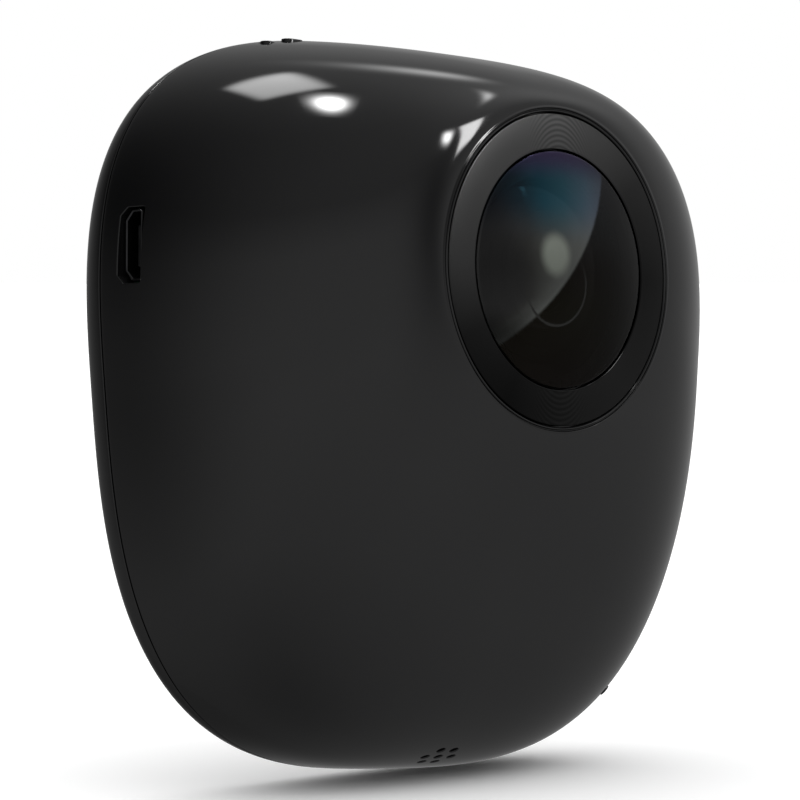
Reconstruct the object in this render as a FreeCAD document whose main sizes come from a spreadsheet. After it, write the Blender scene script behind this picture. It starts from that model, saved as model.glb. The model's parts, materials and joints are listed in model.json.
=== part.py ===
import FreeCAD, Part
import Sketcher
import os
import re
from math import asin, cos, sin, pi, copysign

# Dash cam with a pebble-shaped body, wide at the top and narrow at the bottom.
# All lengths are in millimetres. X is the width and Z is up. The lens looks along -Y.
# The origin is the centre of the adhesive pad's outer face, which sits on the windscreen.
# A depth is a distance forward of the rear cover's flat back.

SIZES = [
    # The egg outline, seen from the front, and its place between front and back
    ("half_width", 39.0, "half width of the body at mid height"),
    ("half_height", 40.0, "half height of the body"),
    ("egg_taper", 0.10, "share by which the top is wider and the bottom narrower"),
    ("egg_power", 2.93, "power of the superellipse outline, 2 being an ellipse"),
    ("widest_depth", 5.2, "depth at which the body is widest"),
    ("back_inset", 4.35, "how far the flat back lies inside the widest outline"),
    ("nose_depth", 33.8, "depth of the rim round the lens"),
    ("nose_spread", 1.54, "power that spreads the slope into the lens rim"),
    ("nose_spread_rise", 0.47, "how much more of that spread the top has than the sides"),
    ("side_bulge", 2.16, "power that keeps the sides full before they turn in"),
    ("side_bulge_drop", 0.99, "how much less of that bulge the top has, and the bottom more"),
    ("wall", 1.6, "wall of the moulded shells"),
    ("nose_wall", 1.2, "wall behind the lens bezel"),
    # The seam between the two shells
    ("seam_depth", 5.1, "depth of the middle of the seam"),
    ("seam_gap", 0.2, "open width of the seam, which the gasket fills"),
    ("gasket_inset", 0.5, "how far the gasket lies below the outer surface"),
    ("gasket_width", 0.9, "width of the gasket"),
    ("lip_height", 1.3, "height of the rear cover's lip inside the front housing"),
    ("lip_clear", 0.25, "clearance between the lip and the front housing"),
    ("lip_wall", 0.8, "wall of that lip"),
    # Running and assembly clearances
    ("slip", 0.1, "clearance between pieces that are put together"),
    ("hair", 0.05, "clearance between pieces that are fitted closely"),
    # The adhesive pad and the screws that it hides
    ("pad_proud", 0.8, "how far the pad stands out of the back"),
    ("pad_sunk", 0.5, "depth of the pad's recess"),
    ("pad_half_width", 27.0, "half width of the pad"),
    ("pad_half_height", 27.0, "half height of the pad"),
    ("pad_corner", 12.0, "corner radius of the pad"),
    ("screw_across", 21.0, "half distance between the case screws, side to side"),
    ("screw_up", 21.0, "half distance between the case screws, top to bottom"),
    ("screw_radius", 1.0, "radius of a case screw's shank"),
    ("screw_head_radius", 1.9, "radius of a case screw's head"),
    ("screw_head_height", 1.3, "height of a case screw's head"),
    ("screw_seat", 2.6, "depth of the face that the head sits on"),
    ("screw_length", 11.5, "length of a case screw under its head"),
    ("socket_radius", 0.8, "radius of the driver socket in the head"),
    ("socket_drop", 0.7, "depth of the driver socket"),
    ("post_radius", 2.7, "radius of the posts and bosses round the screws"),
    # The lens group, on an axis parallel to Y
    ("lens_height", 13.45, "height of the lens axis"),
    ("bezel_radius", 16.7, "outer radius of the lens bezel"),
    ("bezel_inner", 12.9, "inner radius of the lens bezel"),
    ("bezel_thick", 1.0, "thickness of the bezel"),
    ("bezel_lift", 0.15, "how far the bezel's inner edge stands above its outer edge"),
    ("rim_width", 0.8, "width of the housing's rim round the bezel"),
    ("front_lens_radius", 12.75, "radius of the front lens"),
    ("front_lens_clear", 12.4, "radius of its domed face inside the flat rim"),
    ("front_lens_edge", 2.3, "thickness of the front lens at its edge"),
    ("front_lens_sunk", 0.4, "how far the front lens edge lies below the bezel's inner edge"),
    ("front_curve", 34.0, "radius of curvature of the front lens, outside"),
    ("front_hollow", 17.0, "radius of curvature of the front lens, inside"),
    ("front_hollow_radius", 10.2, "radius of the hollow in the back of the front lens"),
    ("cup_wall", 0.6, "wall of the barrel's cup round the front lens"),
    ("flange_radius", 15.2, "radius of the barrel's flange behind the housing"),
    ("flange_thick", 1.0, "thickness of that flange"),
    ("seal_thick", 0.8, "thickness of the rubber seal on the flange"),
    ("step_count", 3, "number of steps in the black baffle round the inner lenses"),
    ("step_rise", 0.5, "height of one baffle step"),
    ("baffle_outer", 11.6, "outer radius of the baffle"),
    ("baffle_drop", 0.65, "how far the baffle's lowest step lies behind the front lens"),
    ("cup_tall", 3.75, "how far the floor of the cup lies behind the front lens"),
    ("neck_radius", 7.0, "radius of the barrel's threaded neck"),
    ("neck_end", 16.5, "depth of the barrel's rear end"),
    ("core_radius", 4.6, "radius of the inner lenses"),
    ("core_clear", 3.9, "radius of their curved faces"),
    ("core_end", 18.2, "depth at which the bore for the inner lenses ends"),
    ("light_radius", 3.4, "radius of the light path behind the inner lenses"),
    ("ring_outer", 6.4, "outer radius of the second lens's retaining ring"),
    ("ring_inner", 4.3, "radius of the opening in that ring"),
    ("ring_thick", 1.0, "thickness of that ring"),
    ("second_edge", 1.6, "edge thickness of the second lens"),
    ("second_curve", 9.0, "radius of curvature of the second lens"),
    ("third_edge", 2.4, "edge thickness of the third lens"),
    ("third_place", 0.47, "share of the room for the two spacers that lies in front of the third lens"),
    ("third_curve", 14.0, "radius of curvature of the third lens"),
    ("stop_thick", 0.5, "thickness of the aperture stop"),
    ("stop_opening", 1.9, "radius of the aperture"),
    ("rear_edge", 2.2, "edge thickness of the rear lens"),
    ("rear_curve", 12.0, "radius of curvature of the rear lens"),
    # The lens holder and the sensor behind it
    ("holder_side", 16.8, "side of the lens holder's square foot"),
    ("holder_foot", 2.4, "height of that foot"),
    ("holder_radius", 8.4, "radius of the holder's collar"),
    ("holder_top", 20.5, "depth of the holder's front end"),
    ("holder_chamber", 11.0, "side of the chamber over the sensor"),
    ("chamber_tall", 2.0, "height of that chamber, front to back"),
    ("ledge_thick", 0.6, "thickness of the ledge that carries the filter"),
    ("filter_side", 8.0, "side of the infrared filter"),
    ("filter_thick", 0.3, "thickness of the infrared filter"),
    ("filter_ledge", 3.2, "radius of the opening behind the filter"),
    ("sensor_width", 8.4, "width of the image sensor"),
    ("sensor_tall", 7.0, "height of the image sensor"),
    ("sensor_thick", 1.1, "thickness of the image sensor"),
    ("sensor_board_side", 24.0, "side of the sensor board"),
    ("sensor_board_depth", 11.0, "depth of the sensor board's back face"),
    ("board_thick", 1.0, "thickness of the boards"),
    ("standoff_radius", 1.9, "radius of a brass standoff"),
    ("standoff_inset", 2.4, "how far the standoffs lie inside the sensor board's edges"),
    ("small_screw_radius", 0.7, "radius of a sensor board screw"),
    ("small_head_radius", 1.4, "radius of its head"),
    ("small_head_height", 0.8, "height of its head"),
    ("small_screw_length", 3.2, "length under its head"),
    ("small_socket_radius", 0.6, "radius of its driver socket"),
    ("small_socket_drop", 0.4, "depth of its driver socket"),
    # The main board and what it carries
    ("board_depth", 7.0, "depth of the main board's back face"),
    ("board_inset", 2.9, "how far the main board lies inside the outline"),
    ("board_bottom", 27.0, "how far below the middle the main board is cut off straight"),
    ("processor_side", 14.0, "side of the processor"),
    ("processor_thick", 1.2, "thickness of the processor"),
    ("thermal_pad_thick", 0.5, "thickness of the thermal pad"),
    ("spreader_width", 34.0, "width of the heat spreader"),
    ("spreader_tall", 30.0, "height of the heat spreader"),
    ("spreader_thick", 0.8, "thickness of the heat spreader"),
    ("chip_lift", 2.0, "height of the processor's centre above the middle"),
    ("memory_chip_width", 11.5, "width of the memory chip"),
    ("memory_chip_tall", 9.0, "height of the memory chip"),
    ("memory_chip_thick", 1.0, "thickness of the memory chip"),
    ("memory_chip_drop", 19.0, "how far its centre lies below the middle"),
    ("battery_width", 30.0, "width of the back-up battery"),
    ("battery_tall", 20.0, "height of the back-up battery"),
    ("battery_thick", 4.6, "thickness of the back-up battery"),
    ("battery_drop", 14.0, "how far its centre lies below the middle"),
    ("battery_corner", 1.5, "corner radius of the battery"),
    ("radio_side", 9.0, "side of the wireless module"),
    ("radio_thick", 1.8, "thickness of the wireless module"),
    ("radio_inset", 13.5, "distance of the wireless module's middle from the body's side"),
    ("radio_drop", 6.0, "how far it lies below the middle"),
    ("antenna_width", 7.0, "width of the ceramic antenna"),
    ("antenna_tall", 2.0, "height of the ceramic antenna"),
    ("antenna_thick", 1.2, "thickness of the ceramic antenna"),
    ("antenna_drop", 14.0, "how far it lies below the middle"),
    ("coil_side", 5.0, "side of the power coil"),
    ("coil_thick", 2.4, "thickness of the power coil"),
    ("coil_inset", 15.0, "distance of the power coil's middle from the body's side"),
    ("coil_drop", 2.0, "how far it lies below the middle"),
    ("microphone_width", 3.8, "width of the microphone"),
    ("microphone_tall", 3.0, "height of the microphone"),
    ("microphone_thick", 1.1, "thickness of the microphone"),
    ("microphone_drop", 10.0, "how far it lies below the middle"),
    ("flex_width", 10.0, "width of the flat sensor cable"),
    ("flex_thick", 0.2, "thickness of the flat sensor cable"),
    ("plug_tall", 2.6, "height of the flat cable's connectors"),
    ("plug_thick", 1.0, "thickness of the flat cable's connectors"),
    ("plug_inset", 0.4, "how far the connectors lie above the sensor board's lower edge"),
    ("flex_drop", 3.2, "how far the cable's fold hangs below the connectors"),
    # The power port, on the -X side
    ("port_height", 15.1, "height of the port's centre"),
    ("port_tall", 8.0, "height of the cut-out in the housing"),
    ("port_wide", 3.1, "width of the cut-out, front to back"),
    ("port_corner", 0.8, "cut across the two rear corners"),
    ("port_shell_tall", 7.5, "height of the steel shell"),
    ("port_shell_wide", 2.6, "width of the steel shell"),
    ("port_shell_wall", 0.25, "wall of the steel shell"),
    ("port_sunk", 0.6, "how far the steel shell's mouth lies inside the surface"),
    ("port_length", 5.6, "length of the steel shell"),
    ("tongue_tall", 4.4, "height of the insulating tongue"),
    ("tongue_wide", 0.7, "thickness of the insulating tongue"),
    ("tongue_sunk", 0.9, "how far the tongue ends inside the steel shell's mouth"),
    ("contact_count", 5, "number of contacts"),
    ("contact_pitch", 0.65, "distance between contacts"),
    ("contact_tall", 0.35, "height of one contact"),
    ("contact_wide", 0.15, "thickness of one contact"),
    # The memory card and its slot, on the +X side
    ("card_tall", 11.0, "width of the memory card, which lies up and down here"),
    ("card_length", 15.0, "length of the memory card"),
    ("card_thick", 0.8, "thickness of the memory card"),
    ("card_lift", 0.7, "gap between the main board and the card"),
    ("card_sunk", 0.4, "how far the card's edge lies inside the surface"),
    ("card_clear", 0.3, "clearance round the card in its slot"),
    ("socket_wall", 0.3, "wall of the card socket"),
    # The speaker and its seven holes, low on the front
    ("grille_share", 0.366, "place of the holes between the widest line and the nose"),
    ("hole_radius", 0.5, "radius of a speaker hole"),
    ("hole_pitch", 2.0, "distance between speaker holes along a row"),
    ("row_pitch", 1.6, "distance between the rows of holes"),
    ("speaker_radius", 5.4, "radius of the speaker"),
    ("speaker_thick", 2.8, "thickness of the speaker's frame"),
    ("speaker_wall", 0.7, "wall of the speaker's frame"),
    ("cone_thick", 0.3, "thickness of the speaker's cone"),
    ("cone_drop", 0.4, "how far the cone lies below the frame's front edge"),
    ("magnet_radius", 3.0, "radius of the speaker's magnet"),
    ("magnet_thick", 1.6, "thickness of the speaker's magnet"),
    ("cloth_thick", 0.3, "thickness of the dust cloth over the holes"),
    ("speaker_start", 2.6, "how far below the surface the dust cloth lies"),
    ("collar_wall", 0.8, "wall of the collar that holds the speaker"),
    # The push buttons
    ("button_depth", 7.3, "depth of the two top buttons"),
    ("power_across", 14.1, "distance of the power button left of the middle"),
    ("button_pitch", 3.8, "distance of the pairing button from the power button"),
    ("button_radius", 0.7, "radius of the buttons' ends"),
    ("power_stretch", 1.3, "straight length of the pill-shaped power button"),
    ("button_proud", 0.2, "how far the buttons stand out"),
    ("button_clear", 0.15, "running clearance round the buttons and their stems"),
    ("button_flange", 0.5, "how much wider the flange behind the wall is"),
    ("flange_height", 0.5, "thickness of the buttons' flanges"),
    ("button_drop", 1.7, "how far the flanges lie below the inner wall's top"),
    ("stem_radius", 0.5, "radius of a button's stem"),
    ("stem_length", 1.0, "length of the stem between the flange and the switch"),
    ("button_travel", 0.25, "travel of a button"),
    ("switch_side", 2.6, "side of a switch"),
    ("switch_tall", 1.5, "height of a switch"),
    ("stem_reach", 0.4, "how far a stem reaches into its switch"),
    ("switch_spare", 0.25, "room left in the switch under a stem that is pressed in"),
    ("button_board_thick", 0.8, "thickness of the small boards under the switches"),
    ("button_board_width", 10.5, "width of the top button board"),
    ("button_board_deep", 5.0, "size of the top button board, front to back"),
    ("reset_turn", 308.0, "direction of the reset button round the outline"),
    ("reset_share", 0.44, "place of the reset button between the widest line and the nose"),
    ("reset_radius", 0.65, "radius of the reset button"),
    ("reset_drop", 2.2, "how far its flange lies below the surface"),
    ("sleeve_radius", 3.0, "radius of the sleeve round the reset switch"),
    ("sleeve_bore", 2.2, "bore of that sleeve"),
]

doc = FreeCAD.newDocument("dash_cam")
sheet = doc.addObject("Spreadsheet::Sheet", "sizes")
for row, (alias, number, note) in enumerate(SIZES, start=1):
    sheet.set("A%d" % row, alias.replace("_", " "))
    sheet.set("B%d" % row, str(number))
    sheet.set("C%d" % row, note)
    sheet.setAlias("B%d" % row, alias)
doc.recompute()

ALIASES = {alias for alias, number, note in SIZES}


def bound(text):
    """The expression with each sheet alias written as the sheet's own cell."""
    def cell(word):
        name = word.group()
        return "sizes." + name if name in ALIASES else name
    return re.sub(r"[a-z_]+", cell, text)


def value(text):
    """What the expression comes to now."""
    return float(sheet.evalExpression(bound(text)))


def number_of(alias):
    """The plain number in the sheet's cell of that name."""
    return float(sheet.get(alias))


# Helpers that place pieces and bind their sizes to the sheet

FORWARD = FreeCAD.Rotation(FreeCAD.Vector(1, 0, 0), 90)
UPRIGHT = FreeCAD.Rotation()
nodes = []


def node(piece, name):
    """Marks a finished piece of the object, which gets a file of its own."""
    piece.Label = name
    nodes.append(piece)
    return piece


def put(piece, across="0", depth="0", up="0", turn=FORWARD):
    """Places a piece from its distance right of the middle, its depth and its height."""
    piece.Placement = FreeCAD.Placement(FreeCAD.Vector(), turn)
    piece.setExpression("Placement.Base.x", bound(across))
    piece.setExpression("Placement.Base.y", bound("-pad_proud - (" + depth + ")"))
    piece.setExpression("Placement.Base.z", bound(up))
    return piece


def disc(name, radius, length, across="0", depth="0", up="0", turn=FORWARD):
    """A cylinder that runs forward from its depth, or upwards where it stands upright."""
    piece = doc.addObject("Part::Cylinder", name)
    piece.setExpression("Radius", bound(radius))
    piece.setExpression("Height", bound(length))
    return put(piece, across, depth, up, turn)


def block(name, wide, deep, tall, across="0", depth="0", up="0"):
    """A box centred side to side and up and down, which runs forward from its depth."""
    piece = doc.addObject("Part::Box", name)
    piece.setExpression("Length", bound(wide))
    piece.setExpression("Width", bound(deep))
    piece.setExpression("Height", bound(tall))
    left = "(%s) - (%s) / 2" % (across, wide)
    front = "(%s) + (%s)" % (depth, deep)
    foot = "(%s) - (%s) / 2" % (up, tall)
    return put(piece, left, front, foot, UPRIGHT)


def joined(name, pieces):
    """Several pieces made one."""
    piece = doc.addObject("Part::MultiFuse", name)
    piece.Shapes = pieces
    piece.Refine = True
    return piece


def cut(name, base, tools):
    """One piece with others taken out of it."""
    tool = tools[0] if len(tools) == 1 else joined(name + "_tools", tools)
    piece = doc.addObject("Part::Cut", name)
    piece.Base = base
    piece.Tool = tool
    piece.Refine = True
    return piece


def shared(name, first, second):
    """What two pieces have in common."""
    piece = doc.addObject("Part::Common", name)
    piece.Base = first
    piece.Tool = second
    return piece


def together(name, pieces):
    """Alike pieces kept as separate solids in one node."""
    piece = doc.addObject("Part::Compound", name)
    piece.Links = pieces
    return piece


def outline_sketch(body, role, corners, name):
    """A closed outline of straight edges, each corner held by two bound distances."""
    sketch = body.newObject("Sketcher::SketchObject", name)
    plane = [feature for feature in body.Origin.OriginFeatures if feature.Role == role][0]
    sketch.AttachmentSupport = [(plane, "")]
    sketch.MapMode = "FlatFace"
    points = [FreeCAD.Vector(value(x), value(y), 0) for x, y in corners]
    count = len(points)
    for i in range(count):
        sketch.addGeometry(Part.LineSegment(points[i], points[(i + 1) % count]))
    for i in range(count):
        sketch.addConstraint(Sketcher.Constraint("Coincident", i, 2, (i + 1) % count, 1))
    for i, (x, y) in enumerate(corners):
        along = sketch.addConstraint(Sketcher.Constraint("DistanceX", -1, 1, i, 1, points[i].x))
        sketch.setExpression("Constraints[%d]" % along, bound(x))
        above = sketch.addConstraint(Sketcher.Constraint("DistanceY", -1, 1, i, 1, points[i].y))
        sketch.setExpression("Constraints[%d]" % above, bound(y))
    return sketch


def turned(name, corners, up="lens_height"):
    """A piece turned about the lens axis, from corners given as radius and depth."""
    body = doc.addObject("PartDesign::Body", name)
    section = [(radius, "-(" + depth + ")") for radius, depth in corners]
    sketch = outline_sketch(body, "XY_Plane", section, name + "_section")
    turn = body.newObject("PartDesign::Revolution", name + "_turn")
    turn.Profile = sketch
    turn.ReferenceAxis = (sketch, ["V_Axis"])
    turn.Angle = 360
    return put(body, "0", "0", up, UPRIGHT)


def raised(name, role, corners, length, across="0", depth="0", up="0"):
    """A piece raised from an outline, forward of an XZ plane or to the right of a YZ plane."""
    body = doc.addObject("PartDesign::Body", name)
    sketch = outline_sketch(body, role, corners, name + "_outline")
    pad = body.newObject("PartDesign::Pad", name + "_pad")
    pad.Profile = sketch
    pad.setExpression("Length", bound(length))
    return put(body, across, depth, up, UPRIGHT)


def rectangle(wide, tall):
    """The corners of a rectangle about the middle."""
    side, top = "(%s) / 2" % wide, "(%s) / 2" % tall
    return [("-" + side, "-" + top), (side, "-" + top), (side, top), ("-" + side, top)]


def rounded(name, wide, tall, thick, corner, across, depth, up):
    """A flat plate with rounded corners."""
    body = raised(name, "XZ_Plane", rectangle(wide, tall), thick, across, depth, up)
    body.recompute(True)
    plate = body.Tip
    edges = []
    for i, edge in enumerate(plate.Shape.Edges, start=1):
        if abs(edge.tangentAt(edge.FirstParameter).y) > 0.9:
            edges.append("Edge%d" % i)
    fillet = body.newObject("PartDesign::Fillet", name + "_corners")
    fillet.Base = (plate, edges)
    fillet.setExpression("Radius", bound(corner))
    return body


# The body's form: an egg outline that draws in to the round lens rim

HALF_WIDTH = number_of("half_width")
HALF_HEIGHT = number_of("half_height")
EGG_TAPER = number_of("egg_taper")
EGG_POWER = number_of("egg_power")
WALL = number_of("wall")
WIDEST_DEPTH = number_of("widest_depth")
NOSE_DEPTH = number_of("nose_depth")
PAD_PROUD = number_of("pad_proud")
NOSE_SHELL = number_of("bezel_thick") + number_of("nose_wall")
TURNS_A_QUARTER = 11
BACK_SECTIONS = 5
FRONT_SECTIONS = 10
LEAST_STEP = 0.1


def turns():
    """Angles round the outline, closer together where the superellipse crosses the axes."""
    gather = EGG_POWER / 2
    angles = []
    for quarter in range(4):
        for i in range(TURNS_A_QUARTER):
            share = i / TURNS_A_QUARTER
            eased = share ** gather / (share ** gather + (1 - share) ** gather)
            angles.append((quarter + eased) * pi / 2)
    return angles


def egg(turn, inset=0.0):
    """The egg outline: a superellipse whose half width grows with its height."""
    rise = copysign(abs(sin(turn)) ** (2 / EGG_POWER), sin(turn))
    reach = copysign(abs(cos(turn)) ** (2 / EGG_POWER), cos(turn))
    return (HALF_WIDTH - inset) * (1 + EGG_TAPER * rise) * reach, (HALF_HEIGHT - inset) * rise


def front_point(turn, share, inset=0.0, nose_drop=0.0):
    """A point between the widest outline, at share 0, and the lens rim, at share 1."""
    across, up = egg(turn, inset)
    rim = number_of("bezel_radius") + number_of("rim_width") - inset
    rim_across, rim_up = rim * cos(turn), number_of("lens_height") + rim * sin(turn)
    spread = number_of("nose_spread") + number_of("nose_spread_rise") * sin(turn)
    bulge = number_of("side_bulge") - number_of("side_bulge_drop") * sin(turn)
    blend = (1 - share ** bulge) ** (1 / spread)
    depth = WIDEST_DEPTH + (NOSE_DEPTH - nose_drop - WIDEST_DEPTH) * share
    x = rim_across + (across - rim_across) * blend
    z = rim_up + (up - rim_up) * blend
    return FreeCAD.Vector(x, -PAD_PROUD - depth, z)


def back_point(turn, lean, inset=0.0, back_drop=0.0):
    """A point on the rounded back edge, at lean 0 where it is widest and a right angle on the flat back."""
    across, up = egg(turn, inset)
    drawn = number_of("back_inset") * (1 - cos(lean))
    depth = back_drop + (WIDEST_DEPTH - back_drop) * (1 - sin(lean))
    shrink_across = 1 - drawn / (HALF_WIDTH - inset)
    shrink_up = 1 - drawn / (HALF_HEIGHT - inset)
    return FreeCAD.Vector(across * shrink_across, -PAD_PROUD - depth, up * shrink_up)


def ring_wire(points):
    """A smooth closed curve through the points."""
    curve = Part.BSplineCurve()
    curve.interpolate(Points=points, PeriodicFlag=True)
    return Part.Wire([curve.toShape()])


def section(depth, inset, back_drop, nose_drop):
    """The closed section of the form at a depth."""
    if depth < WIDEST_DEPTH:
        lean = asin(1 - (depth - back_drop) / (WIDEST_DEPTH - back_drop))
        return ring_wire([back_point(turn, lean, inset, back_drop) for turn in turns()])
    share = min(1.0, (depth - WIDEST_DEPTH) / (NOSE_DEPTH - nose_drop - WIDEST_DEPTH))
    return ring_wire([front_point(turn, share, inset, nose_drop) for turn in turns()])


def stations(back_drop, nose_drop):
    """Depths of the sections, closer together at the rounded back edge and at the nose."""
    back = [back_drop + (WIDEST_DEPTH - back_drop) * (1 - cos(pi / 2 * i / BACK_SECTIONS))
            for i in range(BACK_SECTIONS)]
    front = [WIDEST_DEPTH + (NOSE_DEPTH - nose_drop - WIDEST_DEPTH) * (1 - (1 - i / FRONT_SECTIONS) ** 2)
             for i in range(FRONT_SECTIONS + 1)]
    return back + front


def pebble(start, end, inset=0.0, back_drop=0.0, nose_drop=0.0):
    """The body's form, or the cavity inside it, lofted between two depths."""
    low, high = start + LEAST_STEP, end - LEAST_STEP
    between = [depth for depth in stations(back_drop, nose_drop) if low < depth < high]
    sections = [section(depth, inset, back_drop, nose_drop) for depth in [start] + between + [end]]
    return Part.makeLoft(sections, True, False)


def egg_slab(inset, depth, thick):
    """A flat slab with the egg outline drawn in by an inset."""
    points = []
    for turn in turns():
        across, up = egg(turn, inset)
        points.append(FreeCAD.Vector(across, -PAD_PROUD - depth, up))
    return Part.Face(ring_wire(points)).extrude(FreeCAD.Vector(0, -thick, 0))


def form(name, shape):
    """A computed shape as an object of the document."""
    piece = doc.addObject("Part::Feature", name)
    piece.Shape = shape
    return piece


def on_surface(turn, share):
    """A frame on the front surface: its origin there and its own Z pointing outwards."""
    step = 0.001
    here = front_point(turn, share)
    round_it = front_point(turn + step, share) - front_point(turn - step, share)
    forward = front_point(turn, share + step) - front_point(turn, share - step)
    outward = forward.cross(round_it)
    outward.normalize()
    if outward.dot(FreeCAD.Vector(cos(turn), 0, sin(turn))) < 0:
        outward = outward * -1
    side = FreeCAD.Vector(1, 0, 0) if abs(cos(turn)) < 0.1 else outward.cross(FreeCAD.Vector(0, 1, 0))
    side.normalize()
    along = outward.cross(side)
    along.normalize()
    side = along.cross(outward)
    return FreeCAD.Placement(here, FreeCAD.Rotation(side, along, outward, "ZXY"))


def share_at(depth):
    """The share of the way from the widest outline to the lens rim, at a depth."""
    return max(0.0, (depth - WIDEST_DEPTH) / (NOSE_DEPTH - WIDEST_DEPTH))


def surface_across(depth, up):
    """How far from the middle the surface lies at a depth and a height."""
    low, high = -pi / 2, pi / 2
    for step in range(60):
        middle = (low + high) / 2
        if front_point(middle, share_at(depth)).z < up:
            low = middle
        else:
            high = middle
    return front_point(low, share_at(depth)).x


def surface_up(depth, across):
    """How high the top surface lies at a depth and a distance left of the middle."""
    low, high = pi / 2, pi
    for step in range(60):
        middle = (low + high) / 2
        if front_point(middle, share_at(depth)).x > -across:
            low = middle
        else:
            high = middle
    return front_point(low, share_at(depth)).z


# Places that several pieces share, as expressions

BOARD_FACE = "(board_depth + board_thick)"
PORT_DEPTH = "(board_depth + board_thick + port_shell_wide / 2)"
CARD_DEPTH = "(board_depth + board_thick + card_lift)"
CARD_HEIGHT = "(screw_up - post_radius - slip - socket_wall - card_clear - card_tall / 2)"
CARD_ROOM_DEEP = "(card_thick + 2 * card_clear)"
CARD_ROOM_TALL = "(card_tall + 2 * card_clear)"
RADIO_ACROSS = "(half_width - radio_inset)"
COIL_ACROSS = "(half_width - coil_inset)"
PAIRING_ACROSS = "(power_across + button_pitch)"
BUTTONS_MIDDLE = "-(power_across + button_pitch / 2)"
BEZEL_BACK = "(nose_depth - bezel_thick)"
NOSE_INSIDE = "(nose_depth - bezel_thick - nose_wall)"
CUP_RADIUS = "(front_lens_radius + hair)"
FLANGE_TOP = "(half_height - wall - button_drop)"
SWITCH_TOP = "(%s - flange_height - stem_length)" % FLANGE_TOP
SWITCH_WELL = "(stem_reach + button_travel + switch_spare)"
SWITCH_BOARD_TOP = "(%s - switch_tall)" % SWITCH_TOP
MAIN_BOARD_TOP = "(%s - button_board_thick)" % SWITCH_BOARD_TOP
RESET_SWITCH_TOP = "(-reset_drop - slip - flange_height - stem_length)"
RESET_BOARD_TOP = "(%s - switch_tall)" % RESET_SWITCH_TOP

# Sizes that follow from the body's form, kept in the sheet with the others

BUTTON_DEPTH = number_of("button_depth")
MEASURED = [
    ("port_surface", surface_across(value(PORT_DEPTH), number_of("port_height")), "surface at the port"),
    ("card_surface", surface_across(value(CARD_DEPTH), value(CARD_HEIGHT)), "surface at the card slot"),
    ("power_surface", surface_up(BUTTON_DEPTH, number_of("power_across")), "top at the power button"),
    ("pairing_surface", surface_up(BUTTON_DEPTH, value(PAIRING_ACROSS)), "top at the pairing button"),
]
for row, (alias, number, note) in enumerate(MEASURED, start=len(SIZES) + 1):
    sheet.set("A%d" % row, alias.replace("_", " "))
    sheet.set("B%d" % row, "%.4f" % number)
    sheet.set("C%d" % row, note)
    sheet.setAlias("B%d" % row, alias)
    ALIASES.add(alias)
doc.recompute()

GRILLE = on_surface(1.5 * pi, number_of("grille_share"))
RESET = on_surface(number_of("reset_turn") * pi / 180, number_of("reset_share"))
CORNERS = [(side, end) for side in (-1, 1) for end in (-1, 1)]
TOP_BUTTONS = [("power", "power_stretch", "power_across"), ("pairing", None, PAIRING_ACROSS)]


def across_of(side):
    return "%d * screw_across" % side


def up_of(end):
    return "%d * screw_up" % end


def stand(piece, frame, x, y, z):
    """Stands a piece in a frame on the surface, from plain numbers measured there."""
    piece.Placement = frame.multiply(FreeCAD.Placement(FreeCAD.Vector(x, y, z), UPRIGHT))
    return piece


def peg(name, frame, radius, low, high, x=0.0, y=0.0):
    """A cylinder square to the surface, between two heights above it, which are below zero inside."""
    piece = doc.addObject("Part::Cylinder", name)
    piece.setExpression("Radius", bound(radius))
    piece.setExpression("Height", bound("(%s) - (%s)" % (high, low)))
    return stand(piece, frame, x, y, value(low))


# The shells

SEAM_REAR = "(seam_depth - seam_gap / 2)"
SEAM_FRONT = "(seam_depth + seam_gap / 2)"


def make_forms():
    """The outer forms on both sides of the seam, and the cavity inside them."""
    rear = form("rear_form", pebble(0.0, value(SEAM_REAR)))
    front = form("front_form", pebble(value(SEAM_FRONT), NOSE_DEPTH))
    cavity = form("cavity_form", pebble(WALL, NOSE_DEPTH - NOSE_SHELL, WALL, WALL, NOSE_SHELL))
    return rear, front, cavity


def d_outline(wide, tall, corner):
    """The port's outline in depth and height, with its two rear corners cut across."""
    rear, front = "(%s) / 2" % wide, "-(%s) / 2" % wide
    top, bottom = "(%s) / 2" % tall, "-(%s) / 2" % tall
    return [
        (front, bottom), (rear + " - " + corner, bottom), (rear, bottom + " + " + corner),
        (rear, top + " - " + corner), (rear + " - " + corner, top), (front, top),
    ]


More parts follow.
